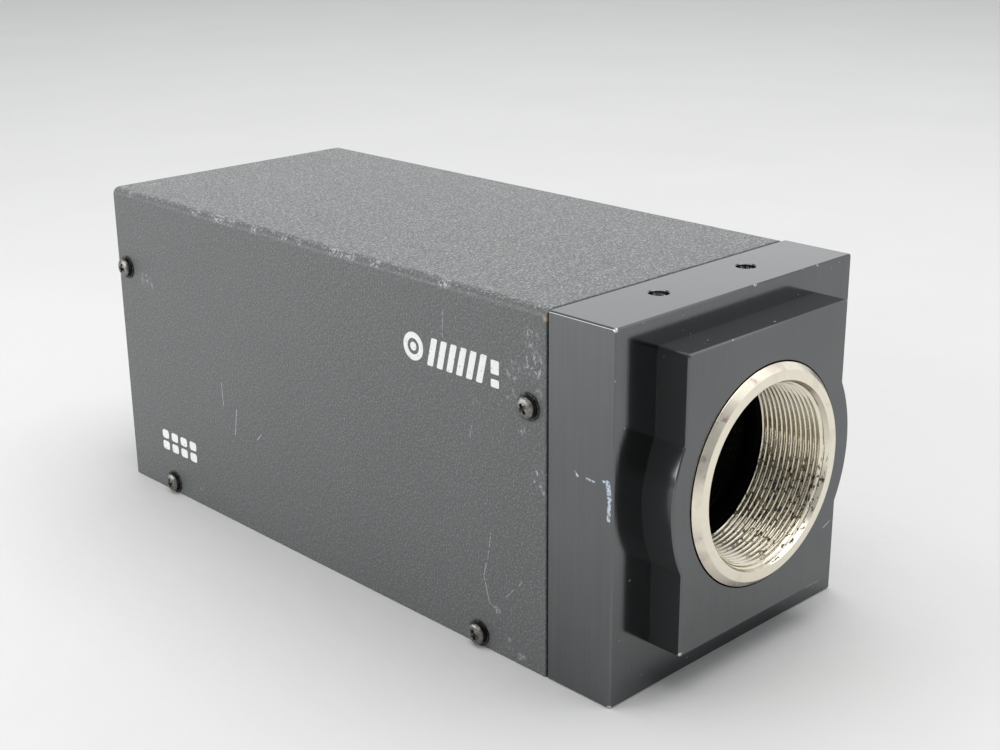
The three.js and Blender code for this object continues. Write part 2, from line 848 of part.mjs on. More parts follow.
// The ceramic package, with a shallow well for the end of the taper and two rows of leads.
function sensorPackage() {
  const [width, depth, height] = sensorSize;
  const body = centredBlock(sensorSize, sensorFront);
  const well = centredBlock([0.65 * width, 1 + sensorWellDepth, 0.45 * height], sensorFront - 1);
  const half = sensorLeadSize / 2;
  const y0 = sensorFront + depth - half;
  const y1 = sensorBoardFront - bearing;
  const spacing = height / (sensorLeadsPerRow + 1);
  const leads = [];
  for (const sign of [-1, 1]) {
    const x = sign * (width / 2 - sensorLeadInset);
    for (let n = 0; n < sensorLeadsPerRow; n += 1) {
      const z = (n - (sensorLeadsPerRow - 1) / 2) * spacing;
      leads.push(block([x - half, y0, z - half], [x + half, y1, z + half]));
    }
  }
  return join(cut(body, well), ...leads);
}

function sensorBoard() {
  const [width, , height] = coldBlockSize;
  const y0 = sensorBoardFront - 1;
  const y1 = sensorBoardRear + 1;
  const slotSize = [width + 2 * coldBlockFit, y1 - y0, height + 2 * coldBlockFit];
  return cut(
    stackPlate(sensorBoardFront, sensorBoardRear),
    centredBlock(slotSize, y0, axisHeight),
    leadHole(y0, y1),
    ...postHoles(studRadius + holeFit, y0, y1),
  );
}

// An angle that stands on the base plate and takes the cooler's heat down to it.
function heatSpreader() {
  const half = spreaderWidth / 2;
  const bottom = baseThickness + bearing;
  const footFront = spreaderFront - spreaderFootLength;
  const footTop = bottom + spreaderFootThickness;
  return join(
    block([-half, spreaderFront, bottom], [half, spreaderRear, spreaderTop]),
    block([-half, footFront, bottom], [half, spreaderRear - 1, footTop]),
  );
}

place(optics, "ccd_sensor", sensorPackage(), ceramic);
place(camera, "sensor_board", sensorBoard(), board);
place(optics, "cold_block", centredBlock(coldBlockSize, coldBlockFront), copper);
place(optics, "thermoelectric_cooler", centredBlock(coolerSize, coolerFront), ceramic);
place(camera, "heat_spreader", heatSpreader(), aluminium);

// ---- Main boards -----------------------------------------------------------------------------

function mainBoard(height, chips) {
  const bottom = height + bearing;
  const top = bottom + boardThickness;
  const parts = chips.map(([x, place, width, share, tall]) => {
    const middle = boardFront + place * boardLength;
    const half = (share * boardLength) / 2;
    return block([x - width / 2, middle - half, top - 0.5], [x + width / 2, middle + half, top + tall]);
  });
  const holes = spacerCentres.map(([x, y]) => {
    const hole = rod(studRadius + holeFit, 0, boardThickness + 2, smallSegments);
    return hole.rotateX(Math.PI / 2).translate(x, y, bottom - 1);
  });
  const bare = block([-boardHalfWidth, boardFront, bottom], [boardHalfWidth, boardRear, top]);
  return cut(join(bare, ...parts), ...holes);
}

// A hexagonal spacer between the boards, with a stud down into the base post and one up.
function boardSpacer() {
  const studEnd = upperBoardHeight + boardThickness + spacerUpperStud;
  const stud = rod(studRadius, lowerBoardHeight - studLength, studEnd, smallSegments);
  const body = rod(spacerAcrossFlats / Math.sqrt(3), spacerBottom, upperBoardHeight, 6);
  return join(stud, body).rotateX(Math.PI / 2);
}

place(camera, "video_board", mainBoard(lowerBoardHeight, videoChips), board);
place(camera, "power_board", mainBoard(upperBoardHeight, powerChips), board);
spacerCentres.forEach(([x, y], index) => {
  place(camera, `board_spacer_${index + 1}`, boardSpacer(), brass, [x, y, 0]);
});

function highVoltageSupply() {
  const half = supplyHalfWidth;
  const top = supplyBottom + supplyHeight;
  const outline = roundedRectangle(-half, supplyBottom, half, top, supplyCorner);
  return extrudedAlongY(outline, supplyFront, supplyRear);
}

// The insulated lead from the supply to the tube, held at both ends.
function highVoltageLead() {
  const [x, dz] = leadOffset;
  const [endX, aboveBottom] = leadEntry;
  const z = axisHeight + dz;
  const endZ = supplyBottom + aboveBottom;
  const end = supplyFront - bearing;
  const middle = (sensorBoardRear + end) / 2;
  const route = new THREE.CatmullRomCurve3([
    new THREE.Vector3(x, tubeRear + bearing, z),
    new THREE.Vector3(x, sensorBoardRear + 1, z),
    new THREE.Vector3((x + endX) / 2, middle, endZ + leadArch),
    new THREE.Vector3(endX, end - 2, endZ),
    new THREE.Vector3(endX, end, endZ),
  ]);
  const section = new THREE.Shape().absarc(0, 0, leadRadius, 0, 2 * Math.PI);
  return new THREE.ExtrudeGeometry(section, {
    extrudePath: route,
    steps: 10,
    curveSegments: 4,
    bevelEnabled: false,
  });
}

// The flat cable from the sensor board to the lower board, in a slack S.
function sensorRibbon() {
  const endY = boardFront + ribbonThickness;
  const endHeight = spacerBottom + ribbonThickness;
  const path = new THREE.CubicBezierCurve(
    new THREE.Vector2(sensorBoardRear + bearing, ribbonStartHeight),
    new THREE.Vector2(endY, ribbonStartHeight),
    new THREE.Vector2(endY - ribbonSlack, endHeight + ribbonSlack / 2),
    new THREE.Vector2(endY, endHeight),
  );
  const steps = 10;
  const above = [];
  const below = [];
  for (let n = 0; n <= steps; n += 1) {
    const at = path.getPoint(n / steps);
    const along = path.getTangent(n / steps);
    const across = new THREE.Vector2(-along.y, along.x).multiplyScalar(ribbonThickness / 2);
    above.push(at.clone().add(across));
    below.unshift(at.clone().sub(across));
  }
  const strip = new THREE.ExtrudeGeometry(new THREE.Shape([...above, ...below]), {
    depth: ribbonWidth,
    bevelEnabled: false,
  });
  // The outline is drawn in Y and Z and swept along X.
  const turn = new THREE.Matrix4().makeBasis(
    new THREE.Vector3(0, 1, 0),
    new THREE.Vector3(0, 0, 1),
    new THREE.Vector3(1, 0, 0),
  );
  return strip.applyMatrix4(turn);
}

place(camera, "high_voltage_supply", highVoltageSupply(), blackPlastic);
place(camera, "high_voltage_lead", highVoltageLead(), rubber);
place(camera, "sensor_ribbon", sensorRibbon(), ribbonGrey, [spreaderWidth / 2 + 1, 0, 0]);

// ---- Rear panel fittings ---------------------------------------------------------------------

// In each group y = 0 is the panel's outer face, and +Y points out of the camera.
// The bayonet jack: a flanged shell with two lugs, open at the rear.
function videoJack() {
  const flange = videoShellRadius + videoFlangeRim;
  const shell = turned([
    [0, fittingTail],
    [videoThreadRadius, fittingTail],
    [videoThreadRadius, bearing],
    [flange, bearing],
    [flange, flangeThickness],
    [videoShellRadius, flangeThickness],
    [videoShellRadius, videoShellLength],
    [videoBore, videoShellLength],
    [videoBore, videoFloor],
    [0, videoFloor],
  ]);
  const start = videoBore + videoShellWall / 2;
  const length = videoShellRadius + videoLugReach - start;
  const lugs = [-1, 1].map((sign) => {
    const lug = rod(videoLugRadius, 0, length, 12).rotateZ((-sign * Math.PI) / 2);
    return lug.translate(sign * start, videoShellLength - videoLugFromEnd, 0);
  });
  return join(shell, ...lugs);
}

// The white insulator with the hole of its centre contact.
function videoInsert() {
  const floor = videoFloor + bearing;
  const end = videoShellLength - videoInsertInset;
  return turned([
    [0, floor],
    [videoInsertRadius, floor],
    [videoInsertRadius, end],
    [videoContactRadius, end],
    [videoContactRadius, floor + videoContactStart],
    [0, floor + videoContactStart],
  ], 20);
}

function powerSocket() {
  const flange = powerShellRadius + powerFlangeRim;
  const step = powerFlangeStep;
  return turned([
    [0, fittingTail],
    [powerShellRadius, fittingTail],
    [powerShellRadius, bearing],
    [flange, bearing],
    [flange, 2 * flangeThickness - step],
    [flange - step, 2 * flangeThickness],
    [powerShellRadius, 2 * flangeThickness],
    [powerShellRadius, powerShellLength - powerMouthBevel],
    [powerShellRadius - powerMouthBevel, powerShellLength],
    [powerBore, powerShellLength],
    [powerBore, powerFloor],
    [0, powerFloor],
  ]);
}

// The insulating disc with its contact pins.
function powerInsert() {
  const floor = powerFloor + bearing;
  const face = floor + powerInsertThickness;
  const tip = powerShellLength - powerPinInset;
  const pins = powerPinCircles.flatMap(([count, radius]) =>
    Array.from({ length: count }, (_, n) => {
      const angle = (2 * Math.PI * n) / count;
      const pin = rod(powerPinRadius, face - 0.5, tip, 6);
      return pin.translate(radius * Math.cos(angle), 0, radius * Math.sin(angle));
    }),
  );
  return join(rod(powerBore - turningFit, floor, face, 24), ...pins);
}

const video = panelGroup(videoPlace);
place(video, "video_jack", videoJack(), nickel);
place(video, "video_jack_insert", videoInsert(), whitePlastic);
const power = panelGroup(powerPlace);
place(power, "power_socket", powerSocket(), nickel);
place(power, "power_socket_insert", powerInsert(), blackPlastic);

function hexNut(radius) {
  return rod(radius + nutRim, bearing, nutThickness, 6);
}

// The gain control: a square body behind the panel and a threaded bush through it.
function gainControl() {
  const half = gainBodySize / 2;
  const body = block([-half, fittingBack - fittingBodyDepth, -half], [half, fittingBack, half]);
  return cut(
    join(body, rod(gainBushRadius, fittingBack - 1, gainBushLength), hexNut(gainBushRadius)),
    rod(gainShaftRadius + turningFit, fittingBack - gainShaftTail - holeFit, gainBushLength + 1),
  );
}

function gainShaft() {
  return rod(gainShaftRadius, fittingBack - gainShaftTail, knobEnd - gainKnobCap);
}

// A fluted knob with a raised pointer line on its face.
function gainKnob() {
  const body = turned([
    [0, knobFront],
    [gainKnobRadius, knobFront],
    [gainKnobRadius, knobEnd - gainKnobBevel],
    [gainKnobRadius - gainKnobBevel, knobEnd],
    [0, knobEnd],
  ], 36);
  const tools = Array.from({ length: fluteCount }, (_, n) => {
    const angle = (2 * Math.PI * (n + 0.5)) / fluteCount;
    const reach = gainKnobRadius + fluteOutset;
    const flute = rod(fluteRadius, knobFront + gainKnobSkirt, knobEnd + 1, 6);
    return flute.translate(reach * Math.cos(angle), 0, reach * Math.sin(angle));
  });
  const half = pointerWidth / 2;
  const pointer = block(
    [-half, knobEnd - 0.5, pointerInset],
    [half, knobEnd + pointerHeight, gainKnobRadius - pointerInset],
  );
  const bore = rod(gainShaftRadius + bearing, knobFront - 1, knobEnd - gainKnobCap + bearing);
  return cut(join(body, pointer), ...tools, bore);
}

const gain = panelGroup(gainPlace);
place(gain, "gain_control", gainControl(), blackSteel);
place(gain, "gain_shaft", gainShaft(), brightSteel);
place(gain, "gain_knob", gainKnob(), blackPlastic);

// The mode switch: a body behind the panel, and a threaded bush whose bore opens like a cone.
function modeSwitch() {
  const [width, height] = modeBodySize;
  const body = block(
    [-width / 2, fittingBack - fittingBodyDepth, -height / 2],
    [width / 2, fittingBack, height / 2],
  );
  const seat = modeLeverBall + holeFit;
  const bore = turned([
    [0, leverPivot - modeLeverBall - 0.5],
    [seat, leverPivot - modeLeverBall - 0.5],
    [seat, leverPivot + 0.4],
    [modeMouthRadius, modeBushLength],
    [modeMouthRadius, modeBushLength + 1],
    [0, modeBushLength + 1],
  ], 20);
  const bush = rod(modeBushRadius, fittingBack - 1, modeBushLength);
  return cut(join(body, bush, hexNut(modeBushRadius)), bore);
}

// The bat-shaped lever, with its ball at the pivot.
function modeLever() {
  const diagonal = 0.7 * modeLeverBall;
  return turned([
    [0, -modeLeverBall],
    [diagonal, -diagonal],
    [modeLeverBall, 0],
    [diagonal, diagonal],
    [modeLeverNeck, modeLeverNeckStart],
    [modeLeverNeck, modeLeverNeckEnd],
    [modeLeverTip, modeLeverLength - modeLeverTip],
    [0.75 * modeLeverTip, modeLeverLength - 0.25 * modeLeverTip],
    [0, modeLeverLength],
  ], 16);
}

const mode = panelGroup(modePlace);
place(mode, "mode_switch", modeSwitch(), brightSteel);
const lever = place(mode, "mode_lever", modeLever(), brightSteel, [0, leverPivot, 0]);
lever.rotation.x = THREE.MathUtils.degToRad(-modeLeverTilt);

// The pilot lamp: a dome in front of the panel and a rim behind it.
function statusLed() {
  const rim = ledRadius + ledRim;
  return turned([
    [0, fittingBack - ledRimLength],
    [rim, fittingBack - ledRimLength],
    [rim, fittingBack],
    [ledRadius, fittingBack],
    [ledRadius, ledStraight],
    [0.8 * ledRadius, ledStraight + 0.5 * ledRadius],
    [0.45 * ledRadius, ledStraight + 0.74 * ledRadius],
    [0, ledStraight + 0.8 * ledRadius],
  ], 16);
}

place(panelGroup(ledPlace), "status_led", statusLed(), ledRed);

export default camera;
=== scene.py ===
"""Looks of the cooled camera head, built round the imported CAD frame.

Lengths in this file are millimetres in the row frame, and become metres where a mesh is made.
The lens looks along -Y, +Z is up, and the rear panel is at +Y.
"""

import json
import math
import random

import bmesh
import bpy
from mathutils import Matrix, Vector


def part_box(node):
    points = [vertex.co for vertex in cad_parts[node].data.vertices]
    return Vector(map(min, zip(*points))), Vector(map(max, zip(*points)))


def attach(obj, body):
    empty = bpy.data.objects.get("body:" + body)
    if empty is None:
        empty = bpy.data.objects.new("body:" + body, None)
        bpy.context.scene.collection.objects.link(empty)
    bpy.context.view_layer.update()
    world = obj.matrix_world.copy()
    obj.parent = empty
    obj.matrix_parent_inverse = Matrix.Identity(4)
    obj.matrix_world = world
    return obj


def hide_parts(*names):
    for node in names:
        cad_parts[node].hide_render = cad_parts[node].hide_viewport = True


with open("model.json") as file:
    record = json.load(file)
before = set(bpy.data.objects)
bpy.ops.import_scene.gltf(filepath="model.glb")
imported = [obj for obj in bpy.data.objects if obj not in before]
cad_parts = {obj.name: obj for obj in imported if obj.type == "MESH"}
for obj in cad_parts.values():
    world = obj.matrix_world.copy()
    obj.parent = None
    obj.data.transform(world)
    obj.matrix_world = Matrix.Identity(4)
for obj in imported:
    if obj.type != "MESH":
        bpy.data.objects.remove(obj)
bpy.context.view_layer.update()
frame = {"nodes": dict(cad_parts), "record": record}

MM = 0.001
HOUSING = "housing"
FLOOR_WIDTH = 4000

# ---- Sizes that the frame's boxes don't give, as in the CAD ----------------------------------

PLATE_THICKNESS = 11.1
PLATE_CORNER = 0.3
EDGE_CHAMFER = 0.2
BLOCK_WIDTH = 33.0
BLOCK_HEIGHT = 40.6
BLOCK_DEPTH = 4.9
BLOCK_CORNER = 0.5
BULGE_WALL = 3.55
SHEET = 1.0
BEND_RADIUS = 1.2
SLIDE_FIT = 0.15
SEAM = 0.25
BEARING = 0.02
HOLE_FIT = 0.1
RING_BEVEL = 0.9
CREST_RADIUS = 12.25
ROOT_RADIUS = 12.7
THREAD_PITCH = 0.794
LEAD_IN_RADIUS = 12.9
LEAD_IN_DEPTH = 1.2
APERTURE_RADIUS = 11.5
TOP_HOLE_SPACING = 17.8
TOP_HOLE_FROM_SEAM = 4.7
TOP_HOLE_DEPTH = 6.0
TOP_HOLE_RADIUS = 1.35
TOP_HOLE_CHAMFER = 0.15
SIDE_SCREW_RADIUS = 0.95
SIDE_SCREW_LENGTH = 5.0
SIDE_HEAD_RADIUS = 1.5
SIDE_HEAD_HEIGHT = 0.7
LOCK_WASHER = 0.3
FLAT_WASHER = 0.2
BASE_THICKNESS = 3.8
BASE_SCREW_RADIUS = 1.25
BASE_SCREW_HEAD = 2.4
BASE_SCREW_LENGTH = 8.0
STUD_RADIUS = 1.2
STUD_LENGTH = 3.4
TRIPOD_RADIUS = 2.9
TRIPOD_PITCH = 1.27
TRIPOD_BOSS = (6.0, 8.0)
TRIPOD_FROM_SEAM = 27.0
TRIPOD_DEPTH = 6.5
SPACER_RADIUS = 2.25
LOWER_BOARD = 12.0
FITTING_TAIL = -6.5
FITTING_BACK = -5.02
FITTING_BODY = 6.0
FLANGE = 1.2
NUT_RIM = 1.6
NUT_THICKNESS = 1.6
VIDEO_SHELL = 4.8
VIDEO_BORE = 4.05
VIDEO_FLOOR = 2.2
VIDEO_LUG = (0.9, 5.6, 8.05)
POWER_SHELL = 6.0
POWER_BORE = 4.9
POWER_FLOOR = 0.5
POWER_FLANGE = 7.8
POWER_PINS = [(3, 1.4), (9, 3.4)]
GAIN_BUSH = (3.0, 3.2)
GAIN_BODY = (9.5, 9.5)
SHAFT = (1.6, -7.52, 10.5)
KNOB_RADIUS = 6.0
KNOB_FRONT = 4.0
KNOB_END = 12.5
FLUTES = 12
MODE_BUSH = (2.4, 5.0)
MODE_BODY = (8.0, 6.8)
MODE_MOUTH = 1.95
LEVER_PIVOT = 1.8
LEVER_BALL = 1.3
LEVER_TILT = 12.5
LEVER_LENGTH = 9.0
LED_RADIUS = 1.5


# ---- Places from the frame -------------------------------------------------------------------


def box(name):
    """The two corners of a CAD node in millimetres."""
    low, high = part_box(name)
    return low / MM, high / MM


def centre(name):
    low, high = box(name)
    return (low + high) / 2


ring_low, ring_high = box("lens_ring")
cover_low, cover_high = box("cover")
plate_high = box("front_plate")[1]
panel_low, panel_high = box("rear_panel")
base_low, base_high = box("base_plate")
tube_low, tube_high = box("intensifier_tube")

AXIS_Z = centre("lens_ring").z
RING_RADIUS = (ring_high.x - ring_low.x) / 2
BULGE_RADIUS = RING_RADIUS + BULGE_WALL
BLOCK_BOTTOM = AXIS_Z - BLOCK_HEIGHT / 2
BLOCK_TOP = AXIS_Z + BLOCK_HEIGHT / 2
TUBE_SEAT_RADIUS = (tube_high.x - tube_low.x) / 2 + SLIDE_FIT
SHOULDER_REAR = tube_low.y - BEARING
HALF_WIDTH = cover_high.x
HEIGHT = cover_high.z
SEAM_Y = cover_low.y - SEAM
PLATE_FRONT = SEAM_Y - PLATE_THICKNESS
BLOCK_FRONT = PLATE_FRONT - BLOCK_DEPTH
REAR_Y = cover_high.y
INNER_HALF = HALF_WIDTH - SHEET - SLIDE_FIT
INNER_TOP = HEIGHT - SHEET - SLIDE_FIT
INNER_BOTTOM = BASE_THICKNESS + SLIDE_FIT


# ---- Camera, floor and light -----------------------------------------------------------------


def make_camera():
    """The photograph's viewpoint, solved from the housing's edges."""
    place = Vector((-155.3, -175.3, 106.0)) * MM
    azimuth, elevation, roll = (math.radians(v) for v in (-44.02, 19.17, -0.46))
    right = Vector((math.cos(azimuth), math.sin(azimuth), 0))
    level, rise = math.cos(elevation), math.sin(elevation)
    back = Vector((math.sin(azimuth) * level, -math.cos(azimuth) * level, rise))
    up = back.cross(right)
    turned_right = math.cos(roll) * right + math.sin(roll) * up
    turned_up = -math.sin(roll) * right + math.cos(roll) * up
    axes = Matrix((turned_right, turned_up, back)).transposed()
    data = bpy.data.cameras.new("camera")
    data.lens = 56.5
    data.sensor_width = 36
    data.clip_start = 0.01
    data.clip_end = 50
    camera = bpy.data.objects.new("camera", data)
    camera.matrix_world = Matrix.Translation(place) @ axes.to_4x4()
    bpy.context.scene.collection.objects.link(camera)
    bpy.context.scene.camera = camera


def area_light(name, place, target, size, power, color=(1, 1, 1)):
    data = bpy.data.lights.new(name, "AREA")
    data.shape = "RECTANGLE"
    data.size, data.size_y = size
    data.energy = power
    data.color = color
    light = bpy.data.objects.new(name, data)
    light.location = place
    light.rotation_euler = (Vector(target) - Vector(place)).to_track_quat("-Z", "Y").to_euler()
    light.visible_camera = False
    bpy.context.scene.collection.objects.link(light)


def make_world():
    """A pale dome: dim at the front left, where someone stands, and brightest behind the right."""
    world = work_in(bpy.data.worlds.new("studio"))
    direction = node("ShaderNodeTexCoord").outputs["Generated"]
    forward, bright, behind_camera = (
        vectors("DOT_PRODUCT", direction, towards)
        for towards in ((0.71, 0.71, 0), (0.66, 0.66, 0.36), (-0.65, -0.70, 0.30))
    )
    strength = most(span(forward, -1, 0, 0.66, 0.88), span(bright, 0.4, 0.9, 0.88, 1.2))
    person = span(behind_camera, 0.75, 0.95, 1.0, 0.45)
    upper = span(split(direction)["Z"], 0.45, 0.7, 1.0, 0.6)
    strength = times(strength, person, upper)
    background = node("ShaderNodeBackground", {"Color": (0.97, 0.985, 1.0, 1), "Strength": strength})
    node("ShaderNodeOutputWorld", {0: background.outputs[0]})
    bpy.context.scene.world = world


def make_stage():
    make_world()
    area_light("overhead", (0.06, 0.0, 0.75), (0, 0, 0), (0.9, 0.9), 5.0, (1.0, 0.99, 0.97))
    area_light("rear_left", (-0.24, 0.15, 0.095), (-0.024, 0.03, 0.035), (0.19, 0.11), 0.33)
    area_light("front_right", (0.16, -0.26, 0.32), (0.03, -0.11, 0), (0.35, 0.35), 0.22)
    reach = FLOOR_WIDTH / 2
    corners = [(-reach, -reach, 0), (reach, -reach, 0), (reach, reach, 0), (-reach, reach, 0)]
    floor = mesh_object("floor", corners, [(0, 1, 2, 3)])
    dress(floor, "pale_floor")
    settings = bpy.context.scene.view_settings
    settings.view_transform = "Standard"
    settings.look = "None"


# ---- Shader nodes ----------------------------------------------------------------------------


class Work:
    """The node tree that the helpers below add to."""

    tree = None


def work_in(owner):
    """Starts an empty node tree in a material or a world."""
    owner.use_nodes = True
    Work.tree = owner.node_tree
    Work.tree.nodes.clear()
    return owner


def feed(socket, value):
    """Links the socket to another one, or sets its value."""
    if isinstance(value, bpy.types.NodeSocket):
        Work.tree.links.new(value, socket)
    else:
        socket.default_value = value


def node(kind, inputs=None, **settings):
    """A node with its settings and inputs."""
    made = Work.tree.nodes.new(kind)
    for key, value in settings.items():
        setattr(made, key, value)
    for key, value in (inputs or {}).items():
        feed(made.inputs[key], value)
    return made


def vectors(operation, a, b=(0, 0, 0)):
    """A vector operation's result, which is a number for a distance, a length or a dot product."""
    made = node("ShaderNodeVectorMath", {0: a, 1: b}, operation=operation)
    return made.outputs["Value" if operation in ("DISTANCE", "LENGTH", "DOT_PRODUCT") else "Vector"]


def split(vector):
    """The X, Y and Z of a vector, by name."""
    return node("ShaderNodeSeparateXYZ", {0: vector}).outputs


def facing():
    """The X, Y and Z of the surface's direction, by name."""
    return split(node("ShaderNodeNewGeometry").outputs["Normal"])


def maths(operation, a, b=0.0, clamp=False):
    made = node("ShaderNodeMath", {0: a, 1: b}, operation=operation, use_clamp=clamp)
    return made.outputs[0]


def span(value, low, high, to_low=0.0, to_high=1.0):
    """value moved smoothly from low..high to to_low..to_high, and held there outside."""
    made = node(
        "ShaderNodeMapRange",
        {"Value": value, "From Min": low, "From Max": high, "To Min": to_low, "To Max": to_high},
        interpolation_type="SMOOTHSTEP",
    )
    return made.outputs["Result"]


def blend(factor, a, b):
    """Colour a where factor is 0, and b where it is 1."""
    made = node("ShaderNodeMix", data_type="RGBA")
    for key, value in (("Factor_Float", factor), ("A_Color", a), ("B_Color", b)):
        feed(next(s for s in made.inputs if s.identifier == key), value)
    return next(s for s in made.outputs if s.identifier == "Result_Color")


def grey(value, tint=(1, 1, 1)):
    return (value * tint[0], value * tint[1], value * tint[2], 1)


def millimetres():
    """Each point's place on the piece, in millimetres."""
    place = node("ShaderNodeTexCoord").outputs["Object"]
    return node("ShaderNodeVectorMath", {0: place, "Scale": 1 / MM}, operation="SCALE").outputs[0]


def stretched(place, factors):
    return vectors("MULTIPLY", place, factors)


def noise(place, scale, detail=2.0, roughness=0.5):
    """Noise whose features are about 1 / scale millimetres wide."""
    made = node("ShaderNodeTexNoise", {
        "Vector": place, "Scale": scale, "Detail": detail, "Roughness": roughness
    })
    return made.outputs["Fac"]


def patches(place, low, high, *settings):
    """1 in patches where the noise passes from low to high, and 0 between them."""
    return span(noise(place, *settings), low, high)


def specks(place, spacing, size, share):
    """Round specks up to size across, one in each cell of the given spacing, in a share of the cells."""
    cells = node("ShaderNodeTexVoronoi", {"Vector": place, "Scale": 1 / spacing})
    chance = node("ShaderNodeSeparateColor", {0: cells.outputs["Color"]})
    radius = maths("MULTIPLY", chance.outputs["Green"], size / 2 / spacing)
    inside = maths("LESS_THAN", cells.outputs["Distance"], radius)
    chosen = maths("LESS_THAN", chance.outputs["Red"], share)
    return maths("MULTIPLY", inside, chosen)


def near_point(place, point, radius):
    """1 at the point, fading to 0 at the radius."""
    return span(vectors("DISTANCE", place, point), radius * 0.5, radius, 1.0, 0.0)


def near_line(place, start, end, width):
    """1 along the stretch from start to end, fading to 0 at half the width."""
    start, end = Vector(start), Vector(end)
    along = end - start
    offset = vectors("SUBTRACT", place, start)
    held = maths("ADD", vectors("DOT_PRODUCT", offset, along / along.length_squared), clamp=True)
    foot = node("ShaderNodeVectorMath", {0: along, "Scale": held}, operation="SCALE").outputs[0]
    return span(vectors("DISTANCE", offset, foot), width * 0.2, width * 0.5, 1.0, 0.0)


def most(*masks):
    """The largest of several masks."""
    total = masks[0]
    for mask in masks[1:]:
        total = maths("MAXIMUM", total, mask)
    return total


def times(*factors):
    total = factors[0]
    for factor in factors[1:]:
        total = maths("MULTIPLY", total, factor)
    return total


def bumped(height, distance, strength=1.0, normal=None):
    """A bump whose height of 1 stands for a distance in millimetres."""
    inputs = {"Height": height, "Distance": distance * MM, "Strength": strength}
    if normal is not None:
        inputs["Normal"] = normal
    return node("ShaderNodeBump", inputs).outputs["Normal"]


MATERIALS = {}


def new_material(name):
    MATERIALS[name] = work_in(bpy.data.materials.new(name))


def surface(inputs, **constants):
    """Ends the material at hand: inputs are linked, and constants are set on the shader's own sockets."""
    fixed = {key.replace("_", " "): value for key, value in constants.items()}
    shader = node("ShaderNodeBsdfPrincipled", {**fixed, **inputs})
    node("ShaderNodeOutputMaterial", {0: shader.outputs[0]})


# ---- Materials -------------------------------------------------------------------------------


def floor_material():
    new_material("pale_floor")
    place = millimetres()
    mottle = noise(place, 0.02, 3)
    surface(
        {"Base Color": blend(mottle, grey(0.62), grey(0.66)), "Normal": bumped(noise(place, 0.15, 3), 0.2)},
        Roughness=0.9, Specular_IOR_Level=0.1,
    )


def anodised_material():
    """Satin black anodised aluminium: bright nicks on its edges, a few specks of dust, and painted shade on
    the block's side walls.
    """
    x, y = -HALF_WIDTH, PLATE_FRONT
    block = -BLOCK_WIDTH / 2
    nicks = [
        ((x + 0.1, y + 0.15, HEIGHT - 0.15), 0.42), ((x + 0.1, y + 0.15, 0.15), 0.42),
        ((2.5, y, HEIGHT), 0.32), ((2.9, y, HEIGHT), 0.22), ((16.2, y, HEIGHT - 0.05), 0.26),
        ((13.0, y, HEIGHT), 0.2), ((block + 0.2, BLOCK_FRONT, BLOCK_BOTTOM + 0.35), 0.42),
        ((block + 8.5, BLOCK_FRONT, BLOCK_TOP), 0.22), ((x, y, 44.3), 0.22),
    ]
    rubs = [
        ((block + 1, BLOCK_FRONT, BLOCK_BOTTOM), (-block - 1.5, BLOCK_FRONT, BLOCK_BOTTOM), 0.4, 0.4),
        ((11.0, BLOCK_FRONT, BLOCK_BOTTOM), (13.6, BLOCK_FRONT, BLOCK_BOTTOM), 0.6, 0.8),
        ((14.0, BLOCK_FRONT, BLOCK_BOTTOM + 8.2), (15.6, BLOCK_FRONT, BLOCK_BOTTOM + 8.8), 0.3, 0.4),
    ]

    new_material("black_anodised")
    place = millimetres()
    flat = maths("GREATER_THAN", maths("ABSOLUTE", facing()["Z"]), 0.7)
    upright_streaks = noise(stretched(place, (5, 5, 0.05)), 1.0, 3, 0.6)
    level_streaks = noise(stretched(place, (0.05, 5, 5)), 1.0, 3, 0.6)
    streaks = maths("ADD", times(level_streaks, flat), times(upright_streaks, maths("SUBTRACT", 1.0, flat)))
    cloud = noise(place, 0.1, 3)
    shade = maths("ADD", times(streaks, 0.6), times(cloud, 0.4))
    base = blend(shade, grey(0.115, (0.97, 1, 1.02)), grey(0.18, (0.97, 1, 1.02)))
    y = split(place)["Y"]
    recess = times(
        span(y, BLOCK_FRONT + 0.3, BLOCK_FRONT + 0.8), span(y, PLATE_FRONT + 0.1, PLATE_FRONT + 0.3, 1, 0)
    )
    # Painted shade: the block's side walls get a darker, less metallic colour, so they and their reflection
    # in the plate's face look darker.
    painted_shade_flank = times(
        span(y, BLOCK_FRONT + 0.2, BLOCK_FRONT + 0.3), span(y, PLATE_FRONT - 0.12, PLATE_FRONT - 0.04, 1, 0)
    )
    base = blend(painted_shade_flank, base, grey(0.072, (0.97, 1, 1.02)))
    dust = times(specks(place, 1.5, 0.34, 0.22), recess)
    ragged = patches(place, 0.42, 0.5, 5.0, 3, 0.7)
    worn = times(most(*(near_point(place, p, r) for p, r in nicks)), ragged)
    rubbed = most(
        *(times(near_line(place, start, end, width), strength) for start, end, width, strength in rubs)
    )
    base = blend(times(dust, 0.55), base, grey(0.6))
    base = blend(most(worn, times(rubbed, ragged)), base, grey(0.8, (1, 0.98, 0.95)))
    smear = paint_smear(place)
    base = blend(smear, base, grey(0.62, (0.84, 0.97, 1.1)))
    rough = maths("ADD", times(streaks, 0.06), 0.10)
    surface(
        {
            # the metallic share drops on the block's side walls as part of the painted shade
            "Base Color": base, "Metallic": times(span(smear, 0.2, 0.8, 1, 0), span(painted_shade_flank, 0, 1, 1, 0.66)),
            "Roughness": maths("ADD", rough, times(most(dust, smear, rubbed), 0.4)),
            "Normal": bumped(streaks, 0.003),
        }
    )


def on_side(y, z):
    """A place on the left side, from its distance behind the seam and its height."""
    return -HALF_WIDTH, SEAM_Y + y, z


def strokes(place, lines):
    """Strokes on the left side, each from a start to an end with a width."""
    return most(*(near_line(place, on_side(*start), on_side(*end), width) for start, end, width in lines))


